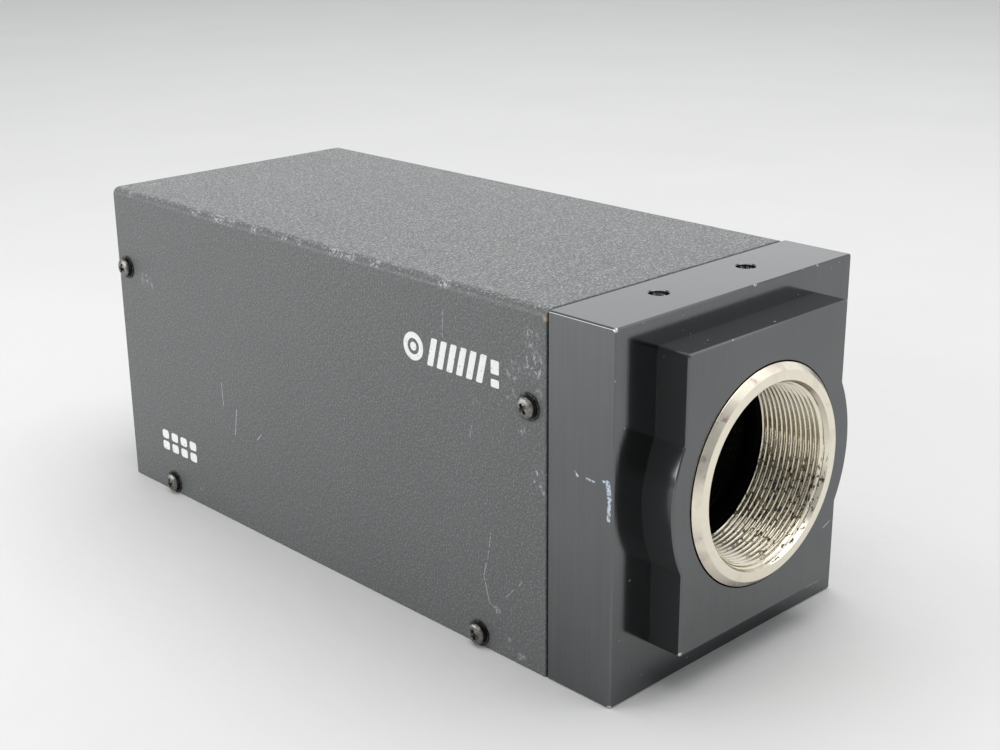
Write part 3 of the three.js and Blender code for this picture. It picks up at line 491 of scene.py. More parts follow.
def paint_smear(place):
    """A pale blue smear near the front edge of the plate's left side, half way up."""
    lines = [
        ((-4.7, 30.9), (-5.2, 30.5), 0.4), ((-6.7, 30.6), (-8.0, 30.5), 0.35),
        ((-9.4, 31.0), (-10.3, 31.1), 0.45), ((-10.2, 31.0), (-10.5, 29.0), 1.0),
        ((-10.5, 29.0), (-10.4, 26.2), 0.8),
    ]
    return times(strokes(place, lines), patches(place, 0.40, 0.56, 2.4, 4, 0.75))


# A near-black, dull material for the insides of the bore and the top holes: painted shade.
def painted_hole_shade_material():
    new_material("painted_hole_shade")
    place = millimetres()
    surface(
        {"Base Color": blend(noise(place, 2), grey(0.002), grey(0.004))}, Roughness=0.7,
        Specular_IOR_Level=0.05,
    )


def hair_scratches(place):
    """Fine pale scratches on the cover's left side."""
    lines = [
        ((10.5, 17.6), (11.1, 13.6), 0.16), ((11.4, 12.9), (11.9, 10.8), 0.2),
        ((11.9, 10.8), (10.9, 7.3), 0.2), ((10.9, 7.3), (9.4, 6.6), 0.16), ((7.6, 9.2), (6.3, 10.6), 0.16),
        ((5.3, 11.6), (4.6, 12.4), 0.2), ((19.2, 46.8), (19.3, 42.8), 0.12),
        ((68.2, 20.0), (69.0, 15.6), 0.3), ((63.0, 16.4), (62.0, 17.4), 0.3),
        ((72.0, 23.5), (71.8, 19.8), 0.25), ((13.9, 32.0), (14.3, 30.2), 0.15),
        ((8.2, 42.2), (9.5, 40.6), 0.12),
    ]
    return times(strokes(place, lines), patches(place, 0.34, 0.5, 2.2, 2, 0.6))


def scuffs(place):
    """Cloudy pale scuffs and chips, as distance behind the seam, height, radius and strength."""
    spots = [
        (2.4, 43.2, 2.2, 0.9), (3.0, 46.6, 1.8, 0.55), (6.2, 41.5, 1.9, 0.5), (6.6, 38.6, 1.5, 0.45),
        (1.6, 39.6, 0.9, 0.5), (4.2, 33.9, 1.3, 0.5), (2.0, 28.4, 1.7, 0.9), (1.2, 26.6, 1.0, 0.8),
        (9.3, 6.5, 0.8, 0.9), (92.4, 36.4, 1.6, 0.7), (90.6, 36.2, 1.1, 0.4), (7.0, 2.4, 1.2, 0.35),
        (4.6, 1.2, 1.1, 0.5), (80.0, 3.4, 1.2, 0.3), (13.0, 35.5, 1.1, 0.25),
    ]
    masks = (times(near_point(place, on_side(y, z), radius), strength) for y, z, radius, strength in spots)
    broken = patches(stretched(place, (1, 1, 0.7)), 0.5, 0.64, 1.5, 4, 0.7)
    return times(most(*masks), broken)


def edge_chips(place):
    """Chipped paint along the cover's upper left fold."""
    x, z = -HALF_WIDTH, HEIGHT
    fold = near_line(place, (x + 0.3, SEAM_Y, z - 0.3), (x + 0.3, REAR_Y, z - 0.3), 1.9)
    spots = [
        (95.1, 1.0), (76.2, 1.3), (70.5, 2.4), (67.0, 1.6), (61.0, 0.9), (53.5, 0.8), (50.0, 0.7),
        (41.5, 2.2), (38.5, 1.4), (33.0, 1.2), (19.0, 1.5),
    ]
    masks = (near_point(place, (x + 0.2, SEAM_Y + y, z - 0.4), radius) for y, radius in spots)
    broken = patches(place, 0.5, 0.6, 2.4, 4, 0.75)
    rare = patches(place, 0.67, 0.73, 1.2, 4, 0.75)
    return times(fold, most(times(most(*masks), broken), rare))


def textured_paint_material():
    """Dark grey textured paint: a fine grain with painted glints and painted sparkle on faces that look up,
    pale scratches and scuffs, chips along the fold.
    """
    new_material("textured_paint")
    place = millimetres()
    grain = noise(place, 3.4, 3, 0.65)
    pits = noise(place, 1.3, 2, 0.5)
    cloud = noise(place, 0.05, 3)
    # Painted light: the grain's pale and dark specks grow stronger on faces that look up, and pale glint
    # specks are painted there.
    upward = span(facing()["Z"], 0.5, 0.9)
    light = span(grain, 0.52, 0.66)
    dark = span(grain, 0.34, 0.48, 1, 0)
    base = blend(cloud, grey(0.089, (0.96, 1, 1.0)), grey(0.103, (0.96, 1, 1.01)))
    top_glint_contrast = span(upward, 0, 1, 0.35, 0.9)
    base = blend(times(light, top_glint_contrast), base, grey(0.34, (0.96, 1, 1.02)))
    base = blend(times(dark, top_glint_contrast), base, grey(0.045))
    painted_glints = times(specks(place, 1.9, 0.3, 0.3), span(upward, 0, 1, 0.3, 1))
    # pale marks: real scratches, scuffs and chips, together with the painted glints
    pale = most(
        times(hair_scratches(place), 0.6), times(scuffs(place), 0.8), times(edge_chips(place), 0.8),
        times(painted_glints, 0.6),
    )
    base = blend(pale, base, grey(0.5, (0.95, 1, 1.03)))
    mark = near_line(place, (-18.6, SEAM_Y + 97.2, HEIGHT), (-16.8, SEAM_Y + 97.4, HEIGHT), 0.8)
    bare = near_point(place, (-HALF_WIDTH + 0.3, SEAM_Y + 0.5, HEIGHT - 1.3), 0.55)
    tan = most(bare, times(mark, patches(place, 0.4, 0.55, 2.2, 3, 0.6)))
    base = blend(times(tan, 0.8), base, (0.38, 0.29, 0.20, 1))
    height = maths("ADD", times(grain, 0.65), times(pits, 0.35))
    surface(
        {"Base Color": base, "Roughness": span(grain, 0.3, 0.7, 0.46, 0.32), "Normal": bumped(height, 0.12)},
        Specular_IOR_Level=0.5,
    )


def nickel_material():
    """Warm nickel plate: turning marks round the lens axis, purple and brown patches on the bevel, dirt in
    the thread.
    """
    new_material("nickel_plate")
    place = millimetres()
    from_axis = vectors("SUBTRACT", place, (0, ring_low.y, AXIS_Z))
    parts = split(from_axis)
    radius = vectors("LENGTH", stretched(from_axis, (1, 0, 1)))
    rings = noise(node("ShaderNodeCombineXYZ", {0: times(radius, 9.0), 1: parts["Y"]}).outputs[0], 1.0, 2)
    cloud = noise(from_axis, 0.25, 3, 0.6)
    bevel = span(radius, RING_RADIUS - RING_BEVEL - 0.05, RING_RADIUS - RING_BEVEL + 0.1)
    base = blend(times(rings, 0.6), grey(0.88, (1, 0.94, 0.79)), grey(0.80, (1, 0.93, 0.77)))
    purple = times(bevel, patches(from_axis, 0.46, 0.62, 0.22, 2), 0.4)
    brown = times(bevel, patches(from_axis, 0.56, 0.7, 0.45, 3, 0.6), 0.6)
    base = blend(purple, base, (0.58, 0.44, 0.44, 1))
    base = blend(brown, base, (0.30, 0.21, 0.15, 1))
    base = blend(times(span(cloud, 0.52, 0.66), 0.15), base, (0.5, 0.42, 0.36, 1))
    inside = span(radius, CREST_RADIUS + 0.55, CREST_RADIUS + 0.75, 1, 0)
    low = span(parts["Z"], 1.0, -4.0)
    right = span(parts["X"], -3.0, 4.0)
    along_thread = stretched(from_axis, (1, 2.6, 1))
    grime = patches(along_thread, 0.56, 0.61, 1.1, 3, 0.6)
    dirt = times(grime, low, right, inside)
    base = blend(times(dirt, 0.9), base, (0.02, 0.015, 0.012, 1))
    pin_holes = specks(from_axis, 1.6, 0.26, 0.1)
    base = blend(times(pin_holes, 0.5), base, (0.28, 0.22, 0.18, 1))
    rough = maths("ADD", times(noise(from_axis, 1.5, 3), 0.14), 0.18)
    surface(
        {
            "Base Color": base, "Roughness": maths("ADD", rough, times(dirt, 0.4)),
            "Normal": bumped(maths("ADD", rings, times(cloud, 0.3)), 0.004),
        },
        Metallic=1.0,
    )


def plain_metal(name, dark, light, roughness=(0.25, 0.45), scale=1.5, grime=0.0, tint=(1, 1, 1)):
    """Metal with a cloudy tone, fine wear and, if asked, dark grime."""
    new_material(name)
    place = millimetres()
    cloud = noise(place, scale, 4, 0.65)
    fine = noise(place, scale * 7, 2)
    base = blend(span(cloud, 0.35, 0.65), grey(dark, tint), grey(light, tint))
    if grime:
        mask = times(patches(place, 0.5, 0.62, scale * 1.7, 3), grime)
        base = blend(mask, base, grey(0.03))
    surface(
        {"Base Color": base, "Roughness": span(cloud, 0.3, 0.7, *roughness), "Normal": bumped(fine, 0.01)},
        Metallic=1.0,
    )


def plain_solid(name, color, light=1.3, roughness=(0.4, 0.55), scale=1.0, bump=0.02, **constants):
    """A moulded or sintered material with a slight mottle and grain."""
    new_material(name)
    place = millimetres()
    cloud = noise(place, scale, 3)
    fine = noise(place, scale * 6, 2)
    lighter = tuple(min(c * light, 1.0) for c in color)
    surface(
        {
            "Base Color": blend(cloud, (*color, 1), (*lighter, 1)),
            "Roughness": span(cloud, 0.3, 0.7, *roughness), "Normal": bumped(fine, bump),
        },
        **constants,
    )


def white_ink_material():
    """Screen-printed white ink, rubbed through in small spots."""
    new_material("white_ink")
    place = millimetres()
    grain = noise(place, 3.2, 3, 0.6)
    rubbed = times(patches(place, 0.60, 0.66, 1.7, 4, 0.75), 0.8)
    base = blend(grain, grey(0.74), grey(0.86))
    surface({"Base Color": blend(rubbed, base, grey(0.16)), "Normal": bumped(grain, 0.06)}, Roughness=0.5)


def circuit_board_material():
    """Green solder mask with faint tracks along X and Y."""
    new_material("circuit_board")
    place = millimetres()
    tracks = node("ShaderNodeTexBrick", {"Vector": place, "Scale": 0.35, "Mortar Size": 0.03})
    mask = noise(place, 0.6, 3)
    base = blend(mask, (0.010, 0.10, 0.045, 1), (0.02, 0.15, 0.07, 1))
    surface(
        {
            "Base Color": blend(times(tracks.outputs["Fac"], 0.5), base, (0.05, 0.25, 0.12, 1)),
            "Normal": bumped(tracks.outputs["Fac"], 0.03),
        },
        Roughness=0.35,
    )


floor_material()
anodised_material()
painted_hole_shade_material()
textured_paint_material()
nickel_material()
white_ink_material()
circuit_board_material()
plain_metal("blackened_steel", 0.12, 0.26, (0.25, 0.42), 1.6, 0.3, (1, 0.97, 0.9))
plain_metal("washer_steel", 0.035, 0.12, (0.28, 0.45), 1.4, 0.5, (1, 0.98, 0.94))
plain_metal("bright_steel", 0.5, 0.62, (0.2, 0.35))
plain_metal("jack_nickel", 0.58, 0.72, (0.16, 0.28), 0.8, 0.0, (1, 0.97, 0.92))
plain_metal("bare_aluminium", 0.6, 0.72, (0.3, 0.45), 0.6)
plain_metal("copper", 0.8, 0.9, (0.25, 0.4), 0.6, 0.0, (1, 0.55, 0.36))
plain_metal("brass", 0.72, 0.82, (0.22, 0.35), 0.8, 0.0, (1, 0.76, 0.40))
plain_solid("rubber", (0.018, 0.018, 0.018), 1.5, (0.7, 0.85))
plain_solid("lead_insulation", (0.35, 0.03, 0.02), 1.2, (0.45, 0.6))
plain_solid("black_plastic", (0.018, 0.019, 0.02), 1.5)
plain_solid("knob_plastic", (0.02, 0.02, 0.021), 1.4, (0.42, 0.56), 0.8, 0.03)
plain_solid("white_plastic", (0.72, 0.70, 0.64), 1.1, (0.35, 0.5))
plain_solid("ceramic", (0.66, 0.64, 0.59), 1.12, (0.5, 0.65))
plain_solid(
    "window_glass", (0.0008, 0.001, 0.001), 1.6, (0.06, 0.1), 0.1, 0.0, IOR=1.5, Specular_IOR_Level=0.03
)
plain_solid("fibre_glass", (0.42, 0.46, 0.47), 1.2, (0.12, 0.2), 3.0, 0.01, IOR=1.55)
plain_solid("ribbon_cable", (0.26, 0.27, 0.29), 1.3, (0.5, 0.65))
plain_solid("red_lens", (0.33, 0.014, 0.010), 1.3, (0.1, 0.18), 0.5, 0.0, Coat_Weight=0.4)


def dress(piece, *names):
    """Sets the piece's material slots."""
    piece.data.materials.clear()
    for name in names:
        piece.data.materials.append(MATERIALS[name])
    return piece


# ---- Meshes ----------------------------------------------------------------------------------


def mesh_object(name, points, faces):
    """An object from points in millimetres, with its faces turned outwards."""
    mesh = bpy.data.meshes.new(name)
    mesh.from_pydata([Vector(p) * MM for p in points], [], faces)
    made = bmesh.new()
    made.from_mesh(mesh)
    bmesh.ops.remove_doubles(made, verts=made.verts, dist=1e-8)
    if len(made.faces) > 1:
        bmesh.ops.recalc_face_normals(made, faces=made.faces)
    made.to_mesh(mesh)
    made.free()
    piece = bpy.data.objects.new(name, mesh)
    bpy.context.scene.collection.objects.link(piece)
    return piece


def skin(rows, closed=False):
    """Faces between neighbouring rings of point numbers."""
    faces = []
    for a, b in zip(rows, rows[1:] + rows[:1] if closed else rows[1:]):
        for n in range(len(a)):
            m = (n + 1) % len(a)
            face = list(dict.fromkeys((a[n], a[m], b[m], b[n])))
            if len(face) > 2:
                faces.append(face)
    return faces


def numbered(rings, count):
    """The point numbers of each of several rings with count points."""
    return [range(ring * count, (ring + 1) * count) for ring in range(rings)]


def lathe(profile, segments=64, closed=False):
    """Points and faces of a profile of (radius, y) turned round the Y axis.

    An open profile starts and ends on the axis, a closed one is a ring's section."""
    points, rows = [], []
    for radius, y in profile:
        if radius == 0:
            rows.append([len(points)] * segments)
            points.append((0, y, 0))
            continue
        rows.append([len(points) + n for n in range(segments)])
        points += around(radius, y, segments)
    return points, skin(rows, closed)


def moved(mesh, offset, turn=None):
    """Points turned by a matrix and then moved, with their faces."""
    points, faces = mesh
    turn = turn or Matrix.Identity(3)
    return [turn @ Vector(p) + Vector(offset) for p in points], faces


def around(radius, y, segments):
    """A ring of points round the Y axis."""
    angles = (2 * math.pi * n / segments for n in range(segments))
    return [(radius * math.cos(angle), y, radius * math.sin(angle)) for angle in angles]


ABOUT_X = {"up": Matrix.Rotation(math.pi / 2, 3, "X"), "down": Matrix.Rotation(-math.pi / 2, 3, "X")}


def arc(cx, cz, radius, start, end, steps=8):
    """Points of a circle's arc, angles in degrees."""
    angles = (math.radians(start + (end - start) * n / steps) for n in range(steps + 1))
    return [(cx + radius * math.cos(a), cz + radius * math.sin(a)) for a in angles]


def rounded_rectangle(x0, z0, x1, z1, corner, steps=6):
    return [
        *arc(x1 - corner, z0 + corner, corner, -90, 0, steps),
        *arc(x1 - corner, z1 - corner, corner, 0, 90, steps),
        *arc(x0 + corner, z1 - corner, corner, 90, 180, steps),
        *arc(x0 + corner, z0 + corner, corner, 180, 270, steps),
    ]


def inset(outline, distance):
    """The outline, which runs anticlockwise, moved inwards."""
    moved_points = []
    count = len(outline)
    for n in range(count):
        before, here, after = (Vector(outline[(n + k) % count]) for k in (-1, 0, 1))
        first, second = (here - before).normalized(), (after - here).normalized()
        a, b = Vector((-first.y, first.x)), Vector((-second.y, second.x))
        middle = (a + b).normalized()
        moved_points.append(tuple(here + middle * distance / max(middle.dot(a), 0.5)))
    return moved_points


def prism(outline, y0, y1, front_chamfer=0.0, rear_chamfer=0.0):
    """Points and faces of an outline in X and Z with a depth along Y."""
    levels = []
    if front_chamfer:
        levels.append((y0, inset(outline, front_chamfer)))
    levels.append((y0 + front_chamfer, outline))
    levels.append((y1 - rear_chamfer, outline))
    if rear_chamfer:
        levels.append((y1, inset(outline, rear_chamfer)))
    count = len(outline)
    points = [(x, y, z) for y, ring in levels for x, z in ring]
    rows = numbered(len(levels), count)
    return points, [tuple(rows[0]), tuple(rows[-1]), *skin(rows)]


def cuboid(low, high):
    (x0, y0, z0), (x1, y1, z1) = low, high
    return prism([(x0, z0), (x1, z0), (x1, z1), (x0, z1)], y0, y1)


def pin(radius, y0, y1, start=0.0, end=0.0):
    """A round pin's profile, with chamfers at its start and end."""
    profile = [
        (0, y0), (radius - start, y0), (radius, y0 + start), (radius, y1 - end), (radius - end, y1), (0, y1)
    ]
    return list(dict.fromkeys(profile))


def rod(radius, y0, y1, segments=32):
    return lathe(pin(radius, y0, y1), segments)


def carve(piece, meshes, operation="DIFFERENCE"):
    """Cuts meshes out of a piece, or joins them to it, one by one."""
    for mesh in meshes:
        tool = mesh_object("tool", *mesh)
        modifier = piece.modifiers.new("carve", "BOOLEAN")
        modifier.operation = operation
        modifier.solver = "EXACT"
        modifier.object = tool
        baked = bpy.data.meshes.new_from_object(piece.evaluated_get(bpy.context.evaluated_depsgraph_get()))
        piece.modifiers.clear()
        old = piece.data
        piece.data = baked
        baked.name = piece.name
        bpy.data.meshes.remove(old)
        bpy.data.objects.remove(tool)
    return piece


def smooth(piece, angle=30):
    """Smooth shading with sharp edges where faces meet at more than the angle."""
    for polygon in piece.data.polygons:
        polygon.use_smooth = True
    piece.data.set_sharp_from_angle(angle=math.radians(angle))
    weighted = piece.modifiers.new("weighted", "WEIGHTED_NORMAL")
    weighted.keep_sharp = True
    return piece


def finish(piece, look, nodes=(), *, body=HOUSING, angle=30):
    """Dresses and smooths the piece, which rides on a body and stands for CAD nodes."""
    dress(piece, look)
    if angle:
        smooth(piece, angle)
    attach(piece, body)
    if nodes:
        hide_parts(*nodes)
    return piece


# ---- Front plate -----------------------------------------------------------------------------


def block_outline():
    half = BLOCK_WIDTH / 2
    angle = math.degrees(math.acos(half / BULGE_RADIUS))
    corner = BLOCK_CORNER
    return [
        *arc(half - corner, BLOCK_BOTTOM + corner, corner, -90, 0),
        *arc(0, AXIS_Z, BULGE_RADIUS, -angle, angle, 24),
        *arc(half - corner, BLOCK_TOP - corner, corner, 0, 90),
        *arc(-half + corner, BLOCK_TOP - corner, corner, 90, 180),
        *arc(0, AXIS_Z, BULGE_RADIUS, 180 - angle, 180 + angle, 24),
        *arc(-half + corner, BLOCK_BOTTOM + corner, corner, 180, 270),
    ]


def plate_bore():
    seat = RING_RADIUS + BEARING + 0.08
    return moved(
        lathe(
            [
                (0, BLOCK_FRONT - 1), (seat + 1.1, BLOCK_FRONT - 1), (seat, BLOCK_FRONT + 0.1),
                (seat, ring_high.y + BEARING), (APERTURE_RADIUS, ring_high.y + BEARING),
                (APERTURE_RADIUS, SHOULDER_REAR), (TUBE_SEAT_RADIUS, SHOULDER_REAR),
                (TUBE_SEAT_RADIUS, plate_high.y + 1), (0, plate_high.y + 1),
            ],
            96,
        ),
        (0, 0, AXIS_Z),
    )


def thread_ridges(radius, pitch, y0, y1, height=0.1):
    """Profile points of a thread between two levels; a negative height is an internal thread."""
    turns = int((y1 - y0) / pitch)
    ridges = []
    for n in range(turns):
        ridges += [(radius, y0 + (n + 0.2) * pitch), (radius - height, y0 + (n + 0.7) * pitch)]
    return ridges


def top_hole(x):
    radius = TOP_HOLE_RADIUS - 0.1
    mouth = TOP_HOLE_RADIUS + TOP_HOLE_CHAMFER
    hole = lathe(
        [
            (0, -TOP_HOLE_DEPTH), (radius, -TOP_HOLE_DEPTH),
            *thread_ridges(radius, 0.5, -TOP_HOLE_DEPTH + 0.2, -0.3, -0.1),
            (TOP_HOLE_RADIUS, -TOP_HOLE_CHAMFER), (mouth, 0), (mouth, 1), (0, 1),
        ],
        40,
    )
    return moved(hole, (x, SEAM_Y - TOP_HOLE_FROM_SEAM, HEIGHT), ABOUT_X["up"])


def side_screw_places():
    """(side, key, place on the cover's face) of each side screw, from the CAD's washers."""
    found = []
    for name in frame["nodes"]:
        if name.startswith("side_washer_"):
            side, key = name.removeprefix("side_washer_").split("_", 1)
            sign = -1 if side == "left" else 1
            middle = centre(name)
            found.append((side, key, Vector((sign * HALF_WIDTH, middle.y, middle.z))))
    return sorted(found, key=lambda item: item[:2])


def side_turn(place):
    """Turns +Y outwards from the side that the place is on."""
    return Matrix.Rotation(-math.copysign(math.pi / 2, place.x), 3, "Z")


def side_hole(place):
    return moved(rod(SIDE_SCREW_RADIUS + HOLE_FIT, -SIDE_SCREW_LENGTH - 0.5, 1, 24), place, side_turn(place))


def side_holes(*keys):
    return [side_hole(place) for _, key, place in side_screw_places() if key in keys]


def base_screw_names():
    return sorted(name for name in frame["nodes"] if name.startswith("base_screw_"))


def base_screw_hole(name):
    hole = rod(BASE_SCREW_RADIUS + HOLE_FIT, -0.5, BASE_SCREW_LENGTH + 1, 24)
    return moved(hole, (centre(name).x, centre(name).y, 0), ABOUT_X["up"])


def front_plate():
    outline = rounded_rectangle(-HALF_WIDTH, 0, HALF_WIDTH, HEIGHT, PLATE_CORNER)
    plate = mesh_object("front_plate_body", *prism(outline, PLATE_FRONT, SEAM_Y, EDGE_CHAMFER, EDGE_CHAMFER))
    tongue = cuboid((-INNER_HALF, SEAM_Y - 1, INNER_BOTTOM), (INNER_HALF, plate_high.y, INNER_TOP))
    carve(plate, [prism(block_outline(), BLOCK_FRONT, PLATE_FRONT + 1, EDGE_CHAMFER), tongue], "UNION")
    screw = centre("ring_set_screw")
    hole = rod(screw_radius("ring_set_screw") + HOLE_FIT, -1, AXIS_Z - RING_RADIUS + 1, 24)
    set_screw_hole = moved(hole, (screw.x, screw.y, 0), ABOUT_X["up"])
    carve(plate, [
        plate_bore(), set_screw_hole, top_hole(-TOP_HOLE_SPACING / 2), top_hole(TOP_HOLE_SPACING / 2),
        *side_holes("front_upper"),
        *(base_screw_hole(name) for name in base_screw_names() if centre(name).y < 0), *post_holes(),
    ])
    finish(plate, "black_anodised", ["front_plate"])
    paint_hole_shade(plate)


def paint_hole_shade(plate):
    """The faces inside the bore and the two top holes get a near-black, dull material: painted shade."""
    dress(plate, "black_anodised", "painted_hole_shade")
    hole_x, hole_y = TOP_HOLE_SPACING / 2, SEAM_Y - TOP_HOLE_FROM_SEAM
    for polygon in plate.data.polygons:
        corners = [plate.data.vertices[index].co / MM for index in polygon.vertices]
        in_bore = all(math.hypot(x, z - AXIS_Z) < RING_RADIUS + 0.2 for x, _, z in corners)
        in_hole = all(math.hypot(abs(x) - hole_x, y - hole_y) < TOP_HOLE_RADIUS for x, y, _ in corners)
        if in_bore or in_hole:
            polygon.material_index = 1


def screw_radius(name):
    low, high = box(name)
    return (high.x - low.x) / 2


def post_holes():
    """The tapped holes that take the front studs of the sensor stack's posts."""
    holes = []
    for name in frame["nodes"]:
        if name.startswith("stack_post_"):
            low, high = box(name)
            middle = (low + high) / 2
            hole = rod(STUD_RADIUS + HOLE_FIT, low.y - BEARING, plate_high.y + 1, 20)
            holes.append(moved(hole, (middle.x, 0, middle.z)))
    return holes


# ---- Lens ring -------------------------------------------------------------------------------


def thread_radius(angle, y):
    """The bore's radius at an angle and a distance behind the ring's face."""
    crest_flat, slope = 0.14, 0.74
    phase = (y / THREAD_PITCH - angle / (2 * math.pi)) % 1.0
    climb = abs(2 * phase - 1)
    painted_shade_flank = min(max((climb - crest_flat) / slope, 0.0), 1.0)
    return CREST_RADIUS + (ROOT_RADIUS - CREST_RADIUS) * painted_shade_flank


def lens_ring():
    """The ring with the true helix of its thread, cut into the bore."""
    segments, steps_per_turn = 192, 12
    length = ring_high.y - ring_low.y
    rows = []
    depth = 0.0
    while depth < length:
        rows.append(depth)
        depth += THREAD_PITCH / steps_per_turn
    rows.append(length)
    points = []
    for y in rows:
        cone = LEAD_IN_RADIUS - y * (LEAD_IN_RADIUS - CREST_RADIUS) / LEAD_IN_DEPTH
        for n in range(segments):
            angle = 2 * math.pi * n / segments
            radius = LEAD_IN_RADIUS if y == 0 else max(thread_radius(angle, y), cone)
            points.append((radius * math.cos(angle), y, radius * math.sin(angle)))
    outside = [
        (RING_RADIUS, length), (RING_RADIUS, RING_BEVEL + 0.05), (RING_RADIUS - 0.04, RING_BEVEL - 0.04),
        (RING_RADIUS - RING_BEVEL + 0.03, 0.03), (RING_RADIUS - RING_BEVEL - 0.05, 0),
    ]
    for radius, y in outside:
        points += around(radius, y, segments)
    faces = skin(numbered(len(rows) + len(outside), segments), closed=True)
    ring = mesh_object("lens_ring_threaded", *moved((points, faces), (0, ring_low.y, AXIS_Z)))
    finish(ring, "nickel_plate", ["lens_ring"], angle=40)


# ---- Cover -----------------------------------------------------------------------------------


def cover_outline():
    """The folded sheet's section, round the outside and back inside, with a point inside for each outside."""
    inner = max(BEND_RADIUS - SHEET, 0.1)
    foot = 0.15
    x1, x0 = HALF_WIDTH, HALF_WIDTH - SHEET
    outer = [
        *arc(x1 - foot, foot, foot, -90, 0, 3),
        *arc(x1 - BEND_RADIUS, HEIGHT - BEND_RADIUS, BEND_RADIUS, 0, 90, 10),
        *arc(-x1 + BEND_RADIUS, HEIGHT - BEND_RADIUS, BEND_RADIUS, 90, 180, 10),
        *arc(-x1 + foot, foot, foot, 180, 270, 3),
    ]
    inside = [
        *arc(-x0 - foot, foot, foot, 270, 360, 3),
        *arc(-x0 + inner, HEIGHT - SHEET - inner, inner, 180, 90, 10),
        *arc(x0 - inner, HEIGHT - SHEET - inner, inner, 90, 0, 10), *arc(x0 + foot, foot, foot, 180, 270, 3),
    ]
    return outer + inside


def cover():
    outline = cover_outline()
    points, faces = prism(outline, cover_low.y, cover_high.y, 0.1, 0.1)
    count = len(outline)
    ends = [
        (start + k, start + k + 1, start + count - 2 - k, start + count - 1 - k)
        for start in (0, len(points) - count)
        for k in range(count // 2 - 1)
    ]
    sheet = mesh_object("cover_sheet", points, faces[2:] + ends)
    carve(sheet, [side_hole(place) for _, _, place in side_screw_places()])
    finish(sheet, "textured_paint", ["cover"])


# ---- Side screws and washers -----------------------------------------------------------------


def cross_recess(radius, top, depth):
    """A tapered cross-shaped recess, pointing along -Y from the top."""
    meshes = []
    for turn in (0, math.pi / 2):
        arm, slot = 0.64 * radius, 0.17 * radius
        points = []
        for y, share in ((top + 0.5, 1.15), (top - depth, 0.45)):
            points += [(sx * arm * share, y, sz * slot) for sx, sz in ((-1, -1), (1, -1), (1, 1), (-1, 1))]
        faces = [(0, 1, 2, 3), (7, 6, 5, 4), (0, 4, 5, 1), (1, 5, 6, 2), (2, 6, 7, 3), (3, 7, 4, 0)]
        meshes.append(moved((points, faces), (0, 0, 0), Matrix.Rotation(turn, 3, "Y")))
    return meshes


def transform(piece, place, turn=None):
    """Turns and moves the mesh itself, so that its own frame stays the row frame."""
    turn = turn or Matrix.Identity(3)
    piece.data.transform(Matrix.Translation(Vector(place) * MM) @ turn.to_4x4())
    return piece


def side_screw(side, key, place, spin):
    """A pan head screw with its shank, made round Y and set into the side."""
    under = FLAT_WASHER + LOCK_WASHER + 2 * BEARING
    top = under + SIDE_HEAD_HEIGHT
    radius = SIDE_HEAD_RADIUS
    dome = [
        (radius * math.sin(a), under + 0.22 + (SIDE_HEAD_HEIGHT - 0.22) * math.cos(a))
        for a in (math.radians(90 - 10 * n) for n in range(9))
    ]
    tip = -SIDE_SCREW_LENGTH
    screw = mesh_object(f"screw_{side}_{key}", *lathe(
        [
            (0, tip), (SIDE_SCREW_RADIUS - 0.3, tip), (SIDE_SCREW_RADIUS, tip + 0.3),
            (SIDE_SCREW_RADIUS, under), (radius - 0.08, under), (radius, under + 0.08), *dome, (0, top),
        ],
        40,
    ))
    carve(screw, cross_recess(radius, top, 0.55))
    transform(screw, place, side_turn(place) @ Matrix.Rotation(spin, 3, "Y"))
    finish(screw, "blackened_steel", [f"side_screw_{side}_{key}"], angle=35)


def lock_washer(side, key, place, spin):
    """A split spring washer: a square section swept nearly all the way round, with a slight rise."""
    inner, outer = SIDE_SCREW_RADIUS + 0.06, SIDE_HEAD_RADIUS + 0.12
    bottom = FLAT_WASHER + 2 * BEARING
    height = LOCK_WASHER - 0.06
    rise = 0.05
    steps = 44
    gap = math.radians(16)
    points = []
    for n in range(steps + 1):
        share = n / steps
        angle = gap / 2 + (2 * math.pi - gap) * share
        y = bottom + rise * share
        for radius, level in ((inner, 0), (outer, 0), (outer, height), (inner, height)):
            points.append((radius * math.cos(angle), y + level, radius * math.sin(angle)))
    faces = [*skin(numbered(steps + 1, 4)), (0, 1, 2, 3), tuple(4 * steps + k for k in (3, 2, 1, 0))]
    washer = mesh_object(f"lock_washer_{side}_{key}", points, faces)
    transform(washer, place, side_turn(place) @ Matrix.Rotation(spin, 3, "Y"))
    finish(washer, "washer_steel")


def flat_washer(side, key, place):
    low, high = box(f"side_washer_{side}_{key}")
    outer = (high.z - low.z) / 2
    inner = SIDE_SCREW_RADIUS + HOLE_FIT
    top = BEARING + FLAT_WASHER
    edge = 0.05
    washer = mesh_object(f"flat_washer_{side}_{key}", *lathe(
        [
            (inner, BEARING), (outer, BEARING), (outer, top - edge), (outer - edge, top), (inner + edge, top),
            (inner, top - edge),
        ],
        48, closed=True,
    ))
    transform(washer, place, side_turn(place))
    finish(washer, "washer_steel", [f"side_washer_{side}_{key}"])


def side_fasteners():
    chance = random.Random(4)
    for side, key, place in side_screw_places():
        spin = chance.uniform(0, math.pi / 2)
        side_screw(side, key, place, spin)
        lock_washer(side, key, place, chance.uniform(0, 2 * math.pi))
        flat_washer(side, key, place)


# ---- Base plate, rear panel and their screws -------------------------------------------------


def turned_piece(name, profile, place, look, nodes=(), *, turn=None, segments=48, cuts=(), body=HOUSING):
    """A piece turned round the Y axis, cut, and set at a place."""
    piece = mesh_object(name, *lathe(profile, segments, closed=profile[0][0] > 0))
    carve(piece, cuts)
    transform(piece, place, turn)
    return finish(piece, look, nodes, body=body)


